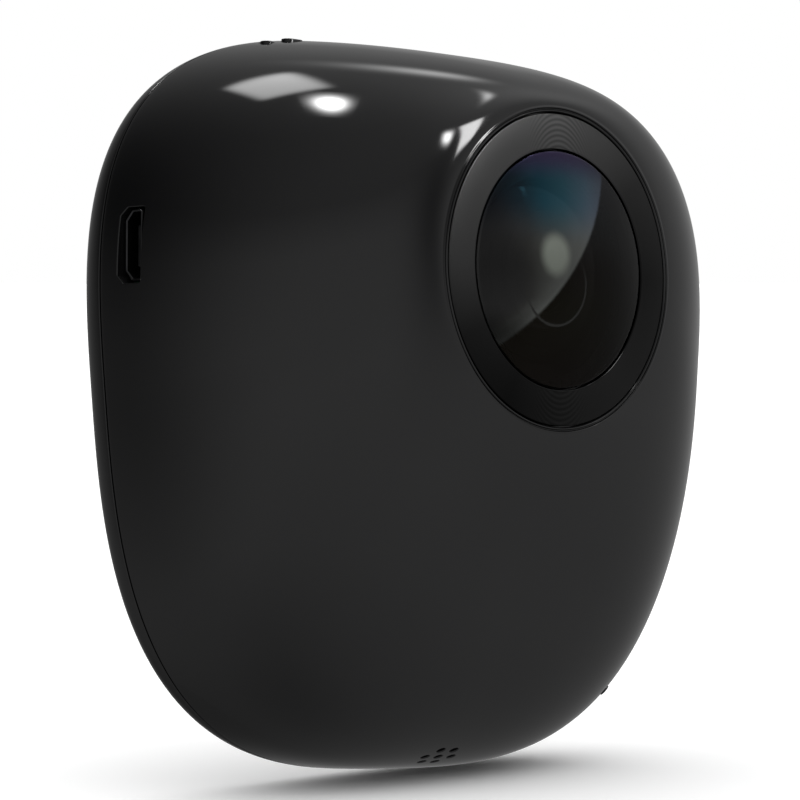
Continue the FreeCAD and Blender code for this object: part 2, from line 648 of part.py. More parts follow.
def make_front_housing(front, cavity):
    """The glossy front shell, with its bosses, speaker collar and button guides left inside it."""
    inside = []
    holes = []
    for i, (side, end) in enumerate(CORNERS):
        place = (across_of(side), BOARD_FACE, up_of(end))
        inside.append(disc("boss_%d" % i, "post_radius", "nose_depth", *place))
        holes.append(disc("boss_bore_%d" % i, "screw_radius + hair",
                          "screw_seat + screw_length + screw_radius - " + BOARD_FACE, *place))
    collar_end = "-(speaker_start + cloth_thick + speaker_thick)"
    inside.append(peg("speaker_collar", GRILLE, "speaker_radius + slip + collar_wall", collar_end, "wall"))
    holes.append(peg("speaker_bore", GRILLE, "speaker_radius + slip",
                     collar_end + " - wall", "-speaker_start"))
    inside.append(peg("reset_sleeve", RESET, "sleeve_radius", RESET_BOARD_TOP, "wall"))
    holes.append(peg("reset_bore", RESET, "sleeve_bore", RESET_BOARD_TOP + " - wall", "-reset_drop"))
    holes.append(peg("reset_hole", RESET, "reset_radius + button_clear", "-2 * reset_drop", "wall"))
    holes.append(peg("reset_board_room", RESET, "sleeve_radius + slip",
                     RESET_BOARD_TOP + " - button_board_thick - slip", RESET_BOARD_TOP))
    for i, (x, y) in enumerate(grille_places()):
        holes.append(peg("speaker_hole_%d" % i, GRILLE, "hole_radius", "-2 * speaker_start", "wall", x, y))
    for name, stretch, across in TOP_BUTTONS:
        reach = "button_radius + button_flange"
        inside += upright(name + "_guide", reach, stretch, across, FLANGE_TOP + " + slip", "half_height")
        holes += upright(name + "_hole", "button_radius + button_clear", stretch, across,
                         FLANGE_TOP + " - wall", "half_height + wall")
    hollow = cut("front_hollow", cavity, inside)
    shell = cut("front_shell", front, [hollow])
    holes.append(disc("bezel_recess", "bezel_radius + slip", "2 * bezel_thick",
                      "0", BEZEL_BACK, "lens_height"))
    holes.append(disc("lens_hole", CUP_RADIUS + " + cup_wall + 2 * slip", "2 * nose_wall",
                      "0", NOSE_INSIDE + " - nose_wall / 2", "lens_height"))
    holes.append(raised("port_hole", "YZ_Plane", d_outline("port_wide", "port_tall", "port_corner"),
                        "3 * wall", "-port_surface - wall", PORT_DEPTH, "port_height"))
    holes.append(block("card_hole", "4 * wall", CARD_ROOM_DEEP, CARD_ROOM_TALL,
                       "card_surface", CARD_DEPTH + " - card_clear", CARD_HEIGHT))
    return node(cut("front_housing", shell, holes), "front_housing")


def grille_places():
    """Seven holes in rows of two, three and two."""
    pitch, row = number_of("hole_pitch"), number_of("row_pitch")
    places = [(step * pitch, 0.0) for step in (-1, 0, 1)]
    for end in (-row, row):
        places += [(-pitch / 2, end), (pitch / 2, end)]
    return places


def upright(name, radius, stretch, across, low, high):
    """The pieces of an upright pin left of the middle: round, or a pill with a straight stretch."""
    height = "(%s) - (%s)" % (high, low)
    if not stretch:
        return [disc(name, radius, height, "-" + across, "button_depth", low, UPRIGHT)]
    pieces = []
    for side in (-1, 1):
        centre = "-%s + %d * %s / 2" % (across, side, stretch)
        end = "%s_end_%d" % (name, side + 2)
        pieces.append(disc(end, radius, height, centre, "button_depth", low, UPRIGHT))
    middle = "((%s) + (%s)) / 2" % (low, high)
    pieces.append(block(name + "_middle", stretch, "2 * (%s)" % radius, height,
                        "-" + across, "button_depth - (%s)" % radius, middle))
    return pieces


def make_rear_cover(rear, cavity):
    """The rear shell with the lip round its edge, its screw posts and the pad's recess."""
    lip_inset = value("wall + lip_clear")
    lip_end = value("seam_depth + lip_height")
    lip_start = value(SEAM_REAR) / 2
    lip = form("lip_outside", egg_slab(lip_inset, lip_start, lip_end - lip_start))
    lip_room = form("lip_inside", egg_slab(lip_inset + number_of("lip_wall"), 0.0, lip_end + WALL))
    posts = []
    holes = []
    for i, (side, end) in enumerate(CORNERS):
        across, up = across_of(side), up_of(end)
        posts.append(disc("post_%d" % i, "post_radius", "board_depth - wall / 2", across, "wall / 2", up))
        holes.append(disc("post_bore_%d" % i, "screw_radius + slip", "2 * board_depth", across, "0", up))
        holes.append(disc("head_bore_%d" % i, "screw_head_radius + slip", "screw_seat + wall",
                          across, "-wall", up))
    hollow = cut("rear_hollow", shared("rear_room", cavity, lip_room), posts)
    shell = cut("rear_shell", joined("rear_blank", [rear, lip] + posts), [hollow])
    holes.append(rounded("pad_recess", "2 * (pad_half_width + slip)", "2 * (pad_half_height + slip)",
                         "pad_sunk + wall", "pad_corner + slip", "0", "-wall", "0"))
    holes.append(block("button_notch", "button_board_width", "2 * lip_height", "half_height",
                       BUTTONS_MIDDLE, SEAM_FRONT, "half_height"))
    return node(cut("rear_cover", shell, holes), "rear_cover")


def make_gasket():
    """The thin rubber ring that shows as the dark seam."""
    inset = number_of("gasket_inset")
    depth = value(SEAM_REAR)
    thick = number_of("seam_gap")
    outside = form("gasket_outside", egg_slab(inset, depth, thick))
    inside = form("gasket_inside", egg_slab(inset + number_of("gasket_width"), depth - 1, thick + 2))
    return node(cut("housing_gasket", outside, [inside]), "housing_gasket")


def make_mounting_pad():
    """The adhesive foam pad that holds the camera on the windscreen."""
    return node(rounded("mounting_pad", "2 * pad_half_width", "2 * pad_half_height", "pad_proud + pad_sunk",
                        "pad_corner", "0", "-pad_proud", "0"), "mounting_pad")


def make_case_screws():
    """Four screws that clamp the rear cover, the main board and the front housing together."""
    screws = []
    head_depth = "screw_seat - screw_head_height"
    for i, (side, end) in enumerate(CORNERS):
        across, up = across_of(side), up_of(end)
        head = disc("case_head_%d" % i, "screw_head_radius", "screw_head_height", across, head_depth, up)
        shank = disc("case_shank_%d" % i, "screw_radius", "screw_length", across, "screw_seat", up)
        socket = disc("case_socket_%d" % i, "socket_radius", "socket_drop", across, head_depth, up)
        screws.append(cut("case_screw_%d" % i, joined("case_blank_%d" % i, [head, shank]), [socket]))
    return node(together("case_screws", screws), "case_screws")


# The lens group, turned about one axis

LENS_BACK = "(nose_depth + bezel_lift - front_lens_sunk - front_lens_edge)"
RING_FRONT = "(%s - baffle_drop + step_count * step_rise)" % LENS_BACK
SECOND_FRONT = "(%s - ring_thick)" % RING_FRONT
SECOND_BACK = "(%s - second_edge)" % SECOND_FRONT
REAR_FRONT = "(core_end + rear_edge)"
SPACER_ROOM = "(%s - %s - third_edge - stop_thick)" % (SECOND_BACK, REAR_FRONT)
THIRD_FRONT = "(%s - third_place * %s)" % (SECOND_BACK, SPACER_ROOM)
THIRD_BACK = "(%s - third_edge)" % THIRD_FRONT
STOP_BACK = "(%s - stop_thick)" % THIRD_BACK
CUP_FLOOR = "(%s - cup_tall)" % LENS_BACK
SENSOR_FACE = "(sensor_board_depth + board_thick)"
LEDGE_FRONT = "(%s + chamber_tall + ledge_thick)" % SENSOR_FACE


def cap(name, curve, clear, face, way):
    """The part of a ball that stands out of a flat face, forwards for 1 or backwards for -1."""
    ball = doc.addObject("Part::Sphere", name + "_ball")
    ball.setExpression("Radius", bound(curve))
    put(ball, "0", "%s - %d * sqrt(%s^2 - %s^2)" % (face, way, curve, clear), "lens_height")
    start = face if way > 0 else "%s - %s" % (face, curve)
    room = disc(name + "_room", curve, curve, "0", start, "lens_height")
    return shared(name, ball, room)


def lens(name, radius, edge, back, curve, clear, hollow=None, hollow_radius=None):
    """A lens with a domed front face, a flat rim and a flat or hollow back."""
    rim = disc(name + "_rim", radius, edge, "0", back, "lens_height")
    dome = cap(name + "_dome", curve, clear, "(%s + %s)" % (back, edge), 1)
    if not hollow:
        return node(joined(name, [rim, dome]), name)
    scoop = cap(name + "_hollow", hollow, hollow_radius, back, 1)
    return node(cut(name, joined(name + "_solid", [rim, dome]), [scoop]), name)


def ring(name, inner, outer, back, length):
    """A plain ring about the lens axis."""
    front = "%s + %s" % (back, length)
    corners = [(inner, back), (outer, back), (outer, front), (inner, front)]
    return node(turned(name, corners), name)


def make_lens_bezel():
    """The satin ring round the front lens, a little higher at its inner edge."""
    corners = [
        ("bezel_inner", BEZEL_BACK), ("bezel_radius", BEZEL_BACK),
        ("bezel_radius", "nose_depth"), ("bezel_inner", "nose_depth + bezel_lift"),
    ]
    return node(turned("lens_bezel", corners), "lens_bezel")


def make_lens_barrel():
    """The barrel: a cup for the front lens, a stepped baffle, a flange and a threaded neck."""
    cup = CUP_RADIUS + " + cup_wall"
    flange_front = NOSE_INSIDE + " - seal_thick"
    flange_back = flange_front + " - flange_thick"
    corners = [
        ("light_radius", "neck_end"), ("neck_radius", "neck_end"), ("neck_radius", CUP_FLOOR),
        (cup, CUP_FLOOR), (cup, flange_back), ("flange_radius", flange_back),
        ("flange_radius", flange_front), (cup, flange_front), (cup, BEZEL_BACK),
        (CUP_RADIUS, BEZEL_BACK), (CUP_RADIUS, LENS_BACK), ("baffle_outer", LENS_BACK),
    ]
    tread = "(baffle_outer - ring_outer - hair) / step_count"
    for step in range(int(number_of("step_count"))):
        level = "%s - baffle_drop + %d * step_rise" % (LENS_BACK, step)
        corners.append(("baffle_outer - %d * %s" % (step, tread), level))
        corners.append(("baffle_outer - %d * %s" % (step + 1, tread), level))
    corners += [
        ("ring_outer + hair", SECOND_FRONT), ("core_radius + hair", SECOND_FRONT),
        ("core_radius + hair", "core_end"), ("light_radius", "core_end"),
    ]
    return node(turned("lens_barrel", corners), "lens_barrel")


def make_inner_lenses():
    """The stack inside the barrel, from the retaining ring back to the rear lens."""
    bevel = "ring_thick / 2"
    corners = [
        ("ring_inner", SECOND_FRONT), ("ring_outer", SECOND_FRONT), ("ring_outer", RING_FRONT),
        ("ring_inner + " + bevel, RING_FRONT), ("ring_inner", RING_FRONT + " - " + bevel),
    ]
    node(turned("second_lens_ring", corners), "second_lens_ring")
    lens("second_lens", "core_radius", "second_edge", SECOND_BACK, "second_curve", "core_clear")
    ring("front_spacer_ring", "core_clear", "core_radius", THIRD_FRONT, "third_place * " + SPACER_ROOM)
    lens("third_lens", "core_radius", "third_edge", THIRD_BACK, "third_curve", "core_clear")
    ring("aperture_stop", "stop_opening", "core_radius", STOP_BACK, "stop_thick")
    ring("rear_spacer_ring", "core_clear", "core_radius", REAR_FRONT, "%s - %s" % (STOP_BACK, REAR_FRONT))
    lens("rear_lens", "core_radius", "rear_edge", "core_end", "rear_curve", "core_clear")


def make_lens_group():
    """Everything on the lens axis in front of the sensor board."""
    make_lens_bezel()
    lens("front_lens", "front_lens_radius", "front_lens_edge", LENS_BACK, "front_curve", "front_lens_clear",
         "front_hollow", "front_hollow_radius")
    make_lens_barrel()
    ring("lens_seal", CUP_RADIUS + " + cup_wall + slip", "flange_radius",
         NOSE_INSIDE + " - seal_thick", "seal_thick")
    make_inner_lenses()


# The sensor board, its lens holder and the standoffs

def sensor_corner(side, end):
    """Where a standoff lies, across and up."""
    reach = "(sensor_board_side / 2 - standoff_inset)"
    return "%d * %s" % (side, reach), "lens_height + %d * %s" % (end, reach)


def make_lens_holder():
    """The holder glued to the sensor board: foot, threaded collar and the ledge for the filter."""
    foot = block("holder_foot_block", "holder_side", "holder_foot", "holder_side",
                 "0", SENSOR_FACE, "lens_height")
    collar = disc("holder_collar", "holder_radius", "holder_top - " + SENSOR_FACE,
                  "0", SENSOR_FACE, "lens_height")
    chamber = block("holder_room", "holder_chamber", "chamber_tall + hair", "holder_chamber", "0",
                    SENSOR_FACE + " - hair", "lens_height")
    light = disc("holder_light", "filter_ledge", "holder_top", "0", SENSOR_FACE, "lens_height")
    thread = disc("holder_thread", "neck_radius + hair", "holder_top", "0", LEDGE_FRONT, "lens_height")
    solid = joined("holder_solid", [foot, collar])
    return node(cut("lens_holder", solid, [chamber, light, thread]), "lens_holder")


def make_sensor_group():
    """The sensor board with its sensor, filter, standoffs and screws."""
    board = block("sensor_board_blank", "sensor_board_side", "board_thick", "sensor_board_side",
                  "0", "sensor_board_depth", "lens_height")
    holes, standoffs, screws = [], [], []
    for i, (side, end) in enumerate(CORNERS):
        across, up = sensor_corner(side, end)
        holes.append(disc("sensor_hole_%d" % i, "small_screw_radius + slip", "3 * board_thick",
                          across, "sensor_board_depth - board_thick", up))
        post_length = "sensor_board_depth - " + BOARD_FACE
        post = disc("standoff_post_%d" % i, "standoff_radius", post_length, across, BOARD_FACE, up)
        bore = disc("standoff_bore_%d" % i, "small_screw_radius + hair", post_length, across, BOARD_FACE, up)
        standoffs.append(cut("standoff_%d" % i, post, [bore]))
        head = disc("small_head_%d" % i, "small_head_radius", "small_head_height", across, SENSOR_FACE, up)
        shank = disc("small_shank_%d" % i, "small_screw_radius", "small_screw_length",
                     across, SENSOR_FACE + " - small_screw_length", up)
        socket = disc("small_socket_%d" % i, "small_socket_radius", "small_socket_drop",
                      across, SENSOR_FACE + " + small_head_height - small_socket_drop", up)
        screws.append(cut("small_screw_%d" % i, joined("small_blank_%d" % i, [head, shank]), [socket]))
    node(cut("sensor_board", board, holes), "sensor_board")
    node(together("board_standoffs", standoffs), "board_standoffs")
    node(together("sensor_board_screws", screws), "sensor_board_screws")
    make_lens_holder()
    node(block("image_sensor", "sensor_width", "sensor_thick", "sensor_tall",
               "0", SENSOR_FACE, "lens_height"), "image_sensor")
    node(block("infrared_filter", "filter_side", "filter_thick", "filter_side",
               "0", LEDGE_FRONT, "lens_height"), "infrared_filter")


def make_sensor_cable():
    """The flat cable, folded between a connector on the sensor board and one on the main board."""
    foot = "(lens_height - sensor_board_side / 2 + plug_inset)"
    middle = foot + " + plug_tall / 2"
    plug = ("flex_width", "plug_thick", "plug_tall", "0")
    node(block("sensor_plug", *plug, "sensor_board_depth - plug_thick", middle), "sensor_plug")
    node(block("board_plug", *plug, BOARD_FACE, middle), "board_plug")
    front = "-(sensor_board_depth - plug_thick / 2 + flex_thick / 2)"
    rear = "-(%s + plug_thick / 2 - flex_thick / 2)" % BOARD_FACE
    corners = [
        (front, "0"), (front, "-flex_drop"), (rear, "-flex_drop"), (rear, "0"),
        (rear + " - flex_thick", "0"), (rear + " - flex_thick", "flex_thick - flex_drop"),
        (front + " + flex_thick", "flex_thick - flex_drop"), (front + " + flex_thick", "0"),
    ]
    cable = raised("sensor_cable", "YZ_Plane", corners, "flex_width", "-flex_width / 2", "0", foot)
    return node(cable, "sensor_cable")


# The main board and what it carries

def make_main_board():
    """The main board follows the egg outline and is cut straight above and below."""
    inset, depth, thick = number_of("board_inset"), number_of("board_depth"), number_of("board_thick")
    slab = form("board_slab", egg_slab(inset, depth, thick))
    band = block("board_band", "2 * half_width", "3 * board_thick", MAIN_BOARD_TOP + " + board_bottom",
                 "0", "board_depth - board_thick", "(%s - board_bottom) / 2" % MAIN_BOARD_TOP)
    holes = []
    for i, (side, end) in enumerate(CORNERS):
        holes.append(disc("board_hole_%d" % i, "screw_radius + slip", "3 * board_thick",
                          across_of(side), "board_depth - board_thick", up_of(end)))
    return node(cut("main_board", shared("board_blank", slab, band), holes), "main_board")


def make_chips():
    """The chips and modules, each a block on one face of the main board."""
    rear = "board_depth - %s"
    pad_depth = "board_depth - processor_thick - thermal_pad_thick"
    places = [
        ("processor", "processor_side", "processor_thick", "processor_side", "0",
         rear % "processor_thick", "chip_lift"),
        ("thermal_pad", "processor_side", "thermal_pad_thick", "processor_side", "0", pad_depth, "chip_lift"),
        ("heat_spreader", "spreader_width", "spreader_thick", "spreader_tall", "0",
         pad_depth + " - spreader_thick", "chip_lift"),
        ("memory_chip", "memory_chip_width", "memory_chip_thick", "memory_chip_tall", "0",
         rear % "memory_chip_thick", "-memory_chip_drop"),
        ("wireless_module", "radio_side", "radio_thick", "radio_side", "-" + RADIO_ACROSS, BOARD_FACE,
         "-radio_drop"),
        ("antenna", "antenna_width", "antenna_thick", "antenna_tall", "-" + RADIO_ACROSS, BOARD_FACE,
         "-antenna_drop"),
        ("power_coil", "coil_side", "coil_thick", "coil_side", COIL_ACROSS, BOARD_FACE, "-coil_drop"),
        ("microphone", "microphone_width", "microphone_thick", "microphone_tall", COIL_ACROSS, BOARD_FACE,
         "-microphone_drop"),
    ]
    for name, wide, deep, tall, across, depth, up in places:
        node(block(name, wide, deep, tall, across, depth, up), name)
    node(rounded("battery", "battery_width", "battery_tall", "battery_thick", "battery_corner",
                 "0", BOARD_FACE, "-battery_drop"), "battery")


# The power port

def make_port():
    """The steel shell with a closed back, the tongue inside it and the tongue's contacts."""
    mouth = "-(port_surface - port_sunk)"
    skin = raised("port_skin", "YZ_Plane", d_outline("port_shell_wide", "port_shell_tall", "port_corner"),
                  "port_length", mouth, PORT_DEPTH, "port_height")
    hollow_outline = d_outline("(port_shell_wide - 2 * port_shell_wall)",
                               "(port_shell_tall - 2 * port_shell_wall)", "port_corner")
    hollow = raised("port_hollow", "YZ_Plane", hollow_outline, "port_length",
                    mouth + " - port_shell_wall", PORT_DEPTH, "port_height")
    node(cut("port_shell", skin, [hollow]), "port_shell")
    tongue_length = "(port_length - port_shell_wall - tongue_sunk)"
    tongue_middle = mouth + " + tongue_sunk + %s / 2" % tongue_length
    node(block("port_tongue", tongue_length, "tongue_wide", "tongue_tall", tongue_middle,
               PORT_DEPTH + " - tongue_wide / 2", "port_height"), "port_tongue")
    contacts = []
    count = int(number_of("contact_count"))
    for i in range(count):
        height = "port_height + %g * contact_pitch" % (i - (count - 1) / 2)
        contacts.append(block("port_contact_%d" % i, tongue_length, "contact_wide", "contact_tall",
                              tongue_middle, PORT_DEPTH + " + tongue_wide / 2", height))
    node(together("port_contacts", contacts), "port_contacts")


# The memory card and its socket

def make_card():
    """The card, which slides out to the right, and the sheet metal socket that it lies in."""
    card_right = "(card_surface - card_sunk)"
    node(block("memory_card", "card_length", "card_thick", "card_tall", card_right + " - card_length / 2",
               CARD_DEPTH, CARD_HEIGHT), "memory_card")
    left = "(%s - card_length - card_clear - socket_wall)" % card_right
    right = "(card_surface - 2 * wall)"
    hood_deep = "card_lift + card_thick + card_clear + socket_wall"
    hood = block("socket_hood", right + " - " + left, hood_deep, CARD_ROOM_TALL + " + 2 * socket_wall",
                 "(%s + %s) / 2" % (left, right), BOARD_FACE, CARD_HEIGHT)
    room = block("socket_room", "2 * card_length", CARD_ROOM_DEEP, CARD_ROOM_TALL,
                 left + " + socket_wall + card_length", CARD_DEPTH + " - card_clear", CARD_HEIGHT)
    return node(cut("card_socket", hood, [room]), "card_socket")


# The speaker, square to the surface behind its seven holes

def make_speaker():
    """The dust cloth, the frame with its cone, and the magnet behind them."""
    cloth_back = "(-speaker_start - cloth_thick)"
    frame_back = "(%s - speaker_thick)" % cloth_back
    node(peg("speaker_cloth", GRILLE, "speaker_radius", cloth_back, "-speaker_start"), "speaker_cloth")
    can = peg("speaker_can", GRILLE, "speaker_radius", frame_back, cloth_back)
    room = peg("speaker_room", GRILLE, "speaker_radius - speaker_wall", frame_back + " + speaker_wall",
               cloth_back + " + speaker_wall")
    node(cut("speaker_frame", can, [room]), "speaker_frame")
    cone_front = cloth_back + " - cone_drop"
    node(peg("speaker_cone", GRILLE, "speaker_radius - speaker_wall",
             cone_front + " - cone_thick", cone_front), "speaker_cone")
    node(peg("speaker_magnet", GRILLE, "magnet_radius", frame_back + " - magnet_thick", frame_back),
         "speaker_magnet")


# The push buttons, their switches and boards

def make_top_buttons():
    """The two buttons on top: a cap, a flange under its guide and a stem that reaches into the switch."""
    for name, stretch, across in TOP_BUTTONS:
        pieces = upright(name + "_cap", "button_radius", stretch, across, FLANGE_TOP,
                         name + "_surface + button_proud")
        pieces += upright(name + "_flange", "button_radius + button_flange", stretch, across,
                          FLANGE_TOP + " - flange_height", FLANGE_TOP)
        pieces += upright(name + "_stem", "stem_radius", None, across, SWITCH_TOP + " - stem_reach",
                          FLANGE_TOP + " - flange_height")
        node(joined(name + "_button", pieces), name + "_button")
        body = block(name + "_switch_body", "switch_side", "switch_side", "switch_tall", "-" + across,
                     "button_depth - switch_side / 2", SWITCH_BOARD_TOP + " + switch_tall / 2")
        well = upright(name + "_well", "stem_radius + button_clear", None, across,
                       SWITCH_TOP + " - " + SWITCH_WELL, SWITCH_TOP + " + slip")
        node(cut(name + "_switch", body, well), name + "_switch")
    node(block("button_board", "button_board_width", "button_board_deep", "button_board_thick",
               BUTTONS_MIDDLE, "button_depth - button_board_deep / 2",
               MAIN_BOARD_TOP + " + button_board_thick / 2"), "button_board")


def make_reset_button():
    """The small button low on the right, in its sleeve, with its switch on a round board."""
    flange_top = "(-reset_drop - slip)"
    pieces = [
        peg("reset_cap", RESET, "reset_radius", flange_top, "button_proud"),
        peg("reset_flange", RESET, "reset_radius + button_flange",
            flange_top + " - flange_height", flange_top),
        peg("reset_stem", RESET, "stem_radius", RESET_SWITCH_TOP + " - stem_reach", flange_top),
    ]
    node(joined("reset_button", pieces), "reset_button")
    body = doc.addObject("Part::Box", "reset_switch_body")
    for side in ("Length", "Width"):
        body.setExpression(side, bound("switch_side"))
    body.setExpression("Height", bound("switch_tall"))
    reach = value("switch_side") / 2
    stand(body, RESET, -reach, -reach, value(RESET_BOARD_TOP))
    well = peg("reset_well", RESET, "stem_radius + button_clear",
               RESET_SWITCH_TOP + " - " + SWITCH_WELL, RESET_SWITCH_TOP + " + slip")
    node(cut("reset_switch", body, [well]), "reset_switch")
    node(peg("reset_board", RESET, "sleeve_radius",
             RESET_BOARD_TOP + " - button_board_thick", RESET_BOARD_TOP), "reset_board")


def make_all():
    """Every piece of the dash cam."""
    rear, front, cavity = make_forms()
    make_front_housing(front, cavity)
    make_rear_cover(rear, cavity)
    make_gasket()
    make_mounting_pad()
    make_case_screws()
    make_lens_group()
    make_sensor_group()
    make_sensor_cable()
    make_main_board()
    make_chips()
    make_port()
    make_card()
    make_speaker()
    make_top_buttons()
    make_reset_button()


def write_all():
    """Checks every object and every finished shape, then writes one file for each node."""
    doc.recompute()
    failed = [piece.Name for piece in doc.Objects if "Invalid" in piece.State or "Error" in piece.State]
    for piece in nodes:
        if piece.Shape.isNull() or not piece.Shape.isValid():
            failed.append(piece.Label)
    if failed:
        raise RuntimeError("failed: " + ", ".join(failed))
    os.makedirs("parts", exist_ok=True)
    for piece in nodes:
        piece.Shape.exportStep(os.path.join("parts", piece.Label + ".step"))
        print(piece.Label, len(piece.Shape.Solids), round(piece.Shape.Volume, 2))


make_all()
write_all()
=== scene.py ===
# %% [markdown]
# # A dash cam for the windscreen
# The real object is a pebble of glossy black plastic with one large lens. The CAD model gives every piece its size and
# place. This lesson lays smooth skins over the pieces that show, gives each piece a finish made of shader nodes, and
# lights it like a small product studio. Reading the frame comes first, because some later sizes are taken from it.

# %% The CAD frame
import json
from collections import namedtuple

import bmesh
import bpy
import numpy as np
from mathutils import Matrix, Vector

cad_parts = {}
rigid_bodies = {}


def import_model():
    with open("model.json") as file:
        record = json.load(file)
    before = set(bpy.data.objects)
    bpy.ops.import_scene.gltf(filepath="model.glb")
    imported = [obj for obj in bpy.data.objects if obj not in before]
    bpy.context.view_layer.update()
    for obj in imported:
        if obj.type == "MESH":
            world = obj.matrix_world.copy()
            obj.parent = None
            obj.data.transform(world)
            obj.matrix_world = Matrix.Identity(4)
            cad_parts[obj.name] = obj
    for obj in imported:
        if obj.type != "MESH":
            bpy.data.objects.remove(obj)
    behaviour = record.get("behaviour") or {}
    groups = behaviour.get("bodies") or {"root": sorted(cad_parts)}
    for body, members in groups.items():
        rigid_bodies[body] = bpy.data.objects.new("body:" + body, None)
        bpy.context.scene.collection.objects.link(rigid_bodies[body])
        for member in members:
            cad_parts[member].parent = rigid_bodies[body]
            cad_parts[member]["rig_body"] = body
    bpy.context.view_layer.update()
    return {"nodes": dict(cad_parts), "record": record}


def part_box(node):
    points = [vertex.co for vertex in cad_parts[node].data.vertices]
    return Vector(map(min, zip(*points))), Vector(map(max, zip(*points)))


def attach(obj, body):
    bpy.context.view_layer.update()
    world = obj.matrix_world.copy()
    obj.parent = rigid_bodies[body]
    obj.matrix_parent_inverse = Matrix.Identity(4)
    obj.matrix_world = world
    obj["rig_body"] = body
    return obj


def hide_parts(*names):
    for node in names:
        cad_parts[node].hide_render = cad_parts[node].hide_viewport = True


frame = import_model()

nodes = frame["nodes"]

# %% [markdown]
# # The camera
# A photograph fixes where its camera stood. Here that place was found from the body's outline and
# the round bezel, which looks like an ellipse from the side. Sizes in this file are in millimetres,
# and become metres where a mesh or an object is made. A long lens keeps the pebble from bulging.

# %% Camera
MM = 0.001
VIEW_TURN = np.radians(-44.9)
VIEW_RISE = np.radians(-3.46)
CAMERA_DISTANCE = 484.8
FOCAL_PIXELS = 4431.6
IMAGE_SIDE = 800
SENSOR_WIDTH = 36.0
AIM_DEPTH, AIM_RIGHT, AIM_UP = 15.8, -3.65, 0.33

toward = np.array([np.sin(VIEW_TURN) * np.cos(VIEW_RISE), -np.cos(VIEW_TURN) * np.cos(VIEW_RISE),
                   np.sin(VIEW_RISE)])
rightward = np.array([np.cos(VIEW_TURN), np.sin(VIEW_TURN), 0.0])
upward = np.cross(toward, rightward)
aim = np.array([0.0, -AIM_DEPTH, 0.0]) + AIM_RIGHT * rightward + AIM_UP * upward

camera = bpy.data.objects.new("camera", bpy.data.cameras.new("camera"))
camera.data.sensor_width = SENSOR_WIDTH
camera.data.lens = FOCAL_PIXELS / IMAGE_SIDE * SENSOR_WIDTH
camera.data.clip_start, camera.data.clip_end = 0.01, 50.0
camera_turn = Matrix(np.column_stack([rightward, upward, toward]).tolist()).to_4x4()
camera.matrix_world = Matrix.Translation(Vector((aim + CAMERA_DISTANCE * toward) * MM)) @ camera_turn
bpy.context.scene.collection.objects.link(camera)
bpy.context.scene.camera = camera
print("lens of the camera:", round(camera.data.lens, 1), "mm")

# %% [markdown]
# # From arrays to a mesh
# A surface here is an array of points, one for each pair of two parameters, so numpy works out all
# of them at once. Neighbouring points make four-sided faces. Patches share points along their
# edges, and merging those points afterwards closes the surface. Recalculated normals then all face
# outwards, and only edges sharper than a limit stay hard.

# %% Mesh helpers
HARD_EDGE = np.radians(38.0)
MERGE_DISTANCE = 2e-6


def grid_faces(rows, columns, around=True):
    """Corner numbers of the faces between neighbouring points of a grid, row by row."""
    numbers = np.arange(rows * columns).reshape(rows, columns)
    if around:
        numbers = np.hstack([numbers, numbers[:, :1]])
    corners = [numbers[:-1, :-1], numbers[:-1, 1:], numbers[1:, 1:], numbers[1:, :-1]]
    return np.stack(corners, axis=-1).reshape(-1, 4)


def grid_part(points, around=True):
    """A grid of points, rows by columns by three, as points and faces."""
    rows, columns = points.shape[:2]
    return points.reshape(-1, 3), grid_faces(rows, columns, around)


def closed_end(ring):
    """A fan from a ring of points to its middle, so that no hole is left at the end."""
    count = len(ring)
    number = np.arange(count)
    faces = np.stack([number, (number + 1) % count, np.full(count, count)], axis=1)
    return np.vstack([ring, ring.mean(axis=0)]), faces


def piece_from(name, parts, hard_edge=HARD_EDGE):
    """One smooth closed mesh from parts, each a pair of points in millimetres and faces."""
    points = np.vstack([part[0] for part in parts]) * MM
    starts = np.cumsum([0] + [len(part[0]) for part in parts])
    faces = [face for start, part in zip(starts, parts) for face in (part[1] + start).tolist()]
    mesh = bpy.data.meshes.new(name)
    mesh.from_pydata(points.tolist(), [], faces)
    shape = bmesh.new()
    shape.from_mesh(mesh)
    bmesh.ops.remove_doubles(shape, verts=shape.verts, dist=MERGE_DISTANCE)
    bmesh.ops.recalc_face_normals(shape, faces=shape.faces)
    shape.to_mesh(mesh)
    shape.free()
    mesh.shade_smooth()
    mesh.set_sharp_from_angle(angle=hard_edge)
    piece = bpy.data.objects.new(name, mesh)
    bpy.context.scene.collection.objects.link(piece)
    print(name, "has", len(mesh.polygons), "faces")
    return piece


# %% [markdown]
# # Shader sums as Python
# A finish is a small tree of nodes. Written as Python sums, it reads like the recipe that it is:
# a Wire stands for one output, and adding or multiplying wires adds Math nodes. One method makes
# every other kind of node. Numbers alone are worked out in Python and set on the shader's sockets.

# %% Wires and finishes
class Wire:
    """One output in a node tree. Sums with it add Math nodes."""

    def __init__(self, shading, socket):
        self.shading = shading
        self.socket = socket

    def math(self, operation, *values):
        return self.shading.node("ShaderNodeMath", {"operation": operation}, dict(enumerate(values)))

    def apply(self, operation, *values):
        """A Math node whose first value is this wire."""
        return self.math(operation, self, *values)

    def __add__(self, other):
        return self.math("ADD", self, other)

    def __sub__(self, other):
        return self.math("SUBTRACT", self, other)

    def __rsub__(self, other):
        return self.math("SUBTRACT", other, self)

    def __mul__(self, other):
        return self.math("MULTIPLY", self, other)

    def __truediv__(self, other):
        return self.math("DIVIDE", self, other)

    def __pow__(self, other):
        return self.math("POWER", self, other)

    __radd__ = __add__
    __rmul__ = __mul__


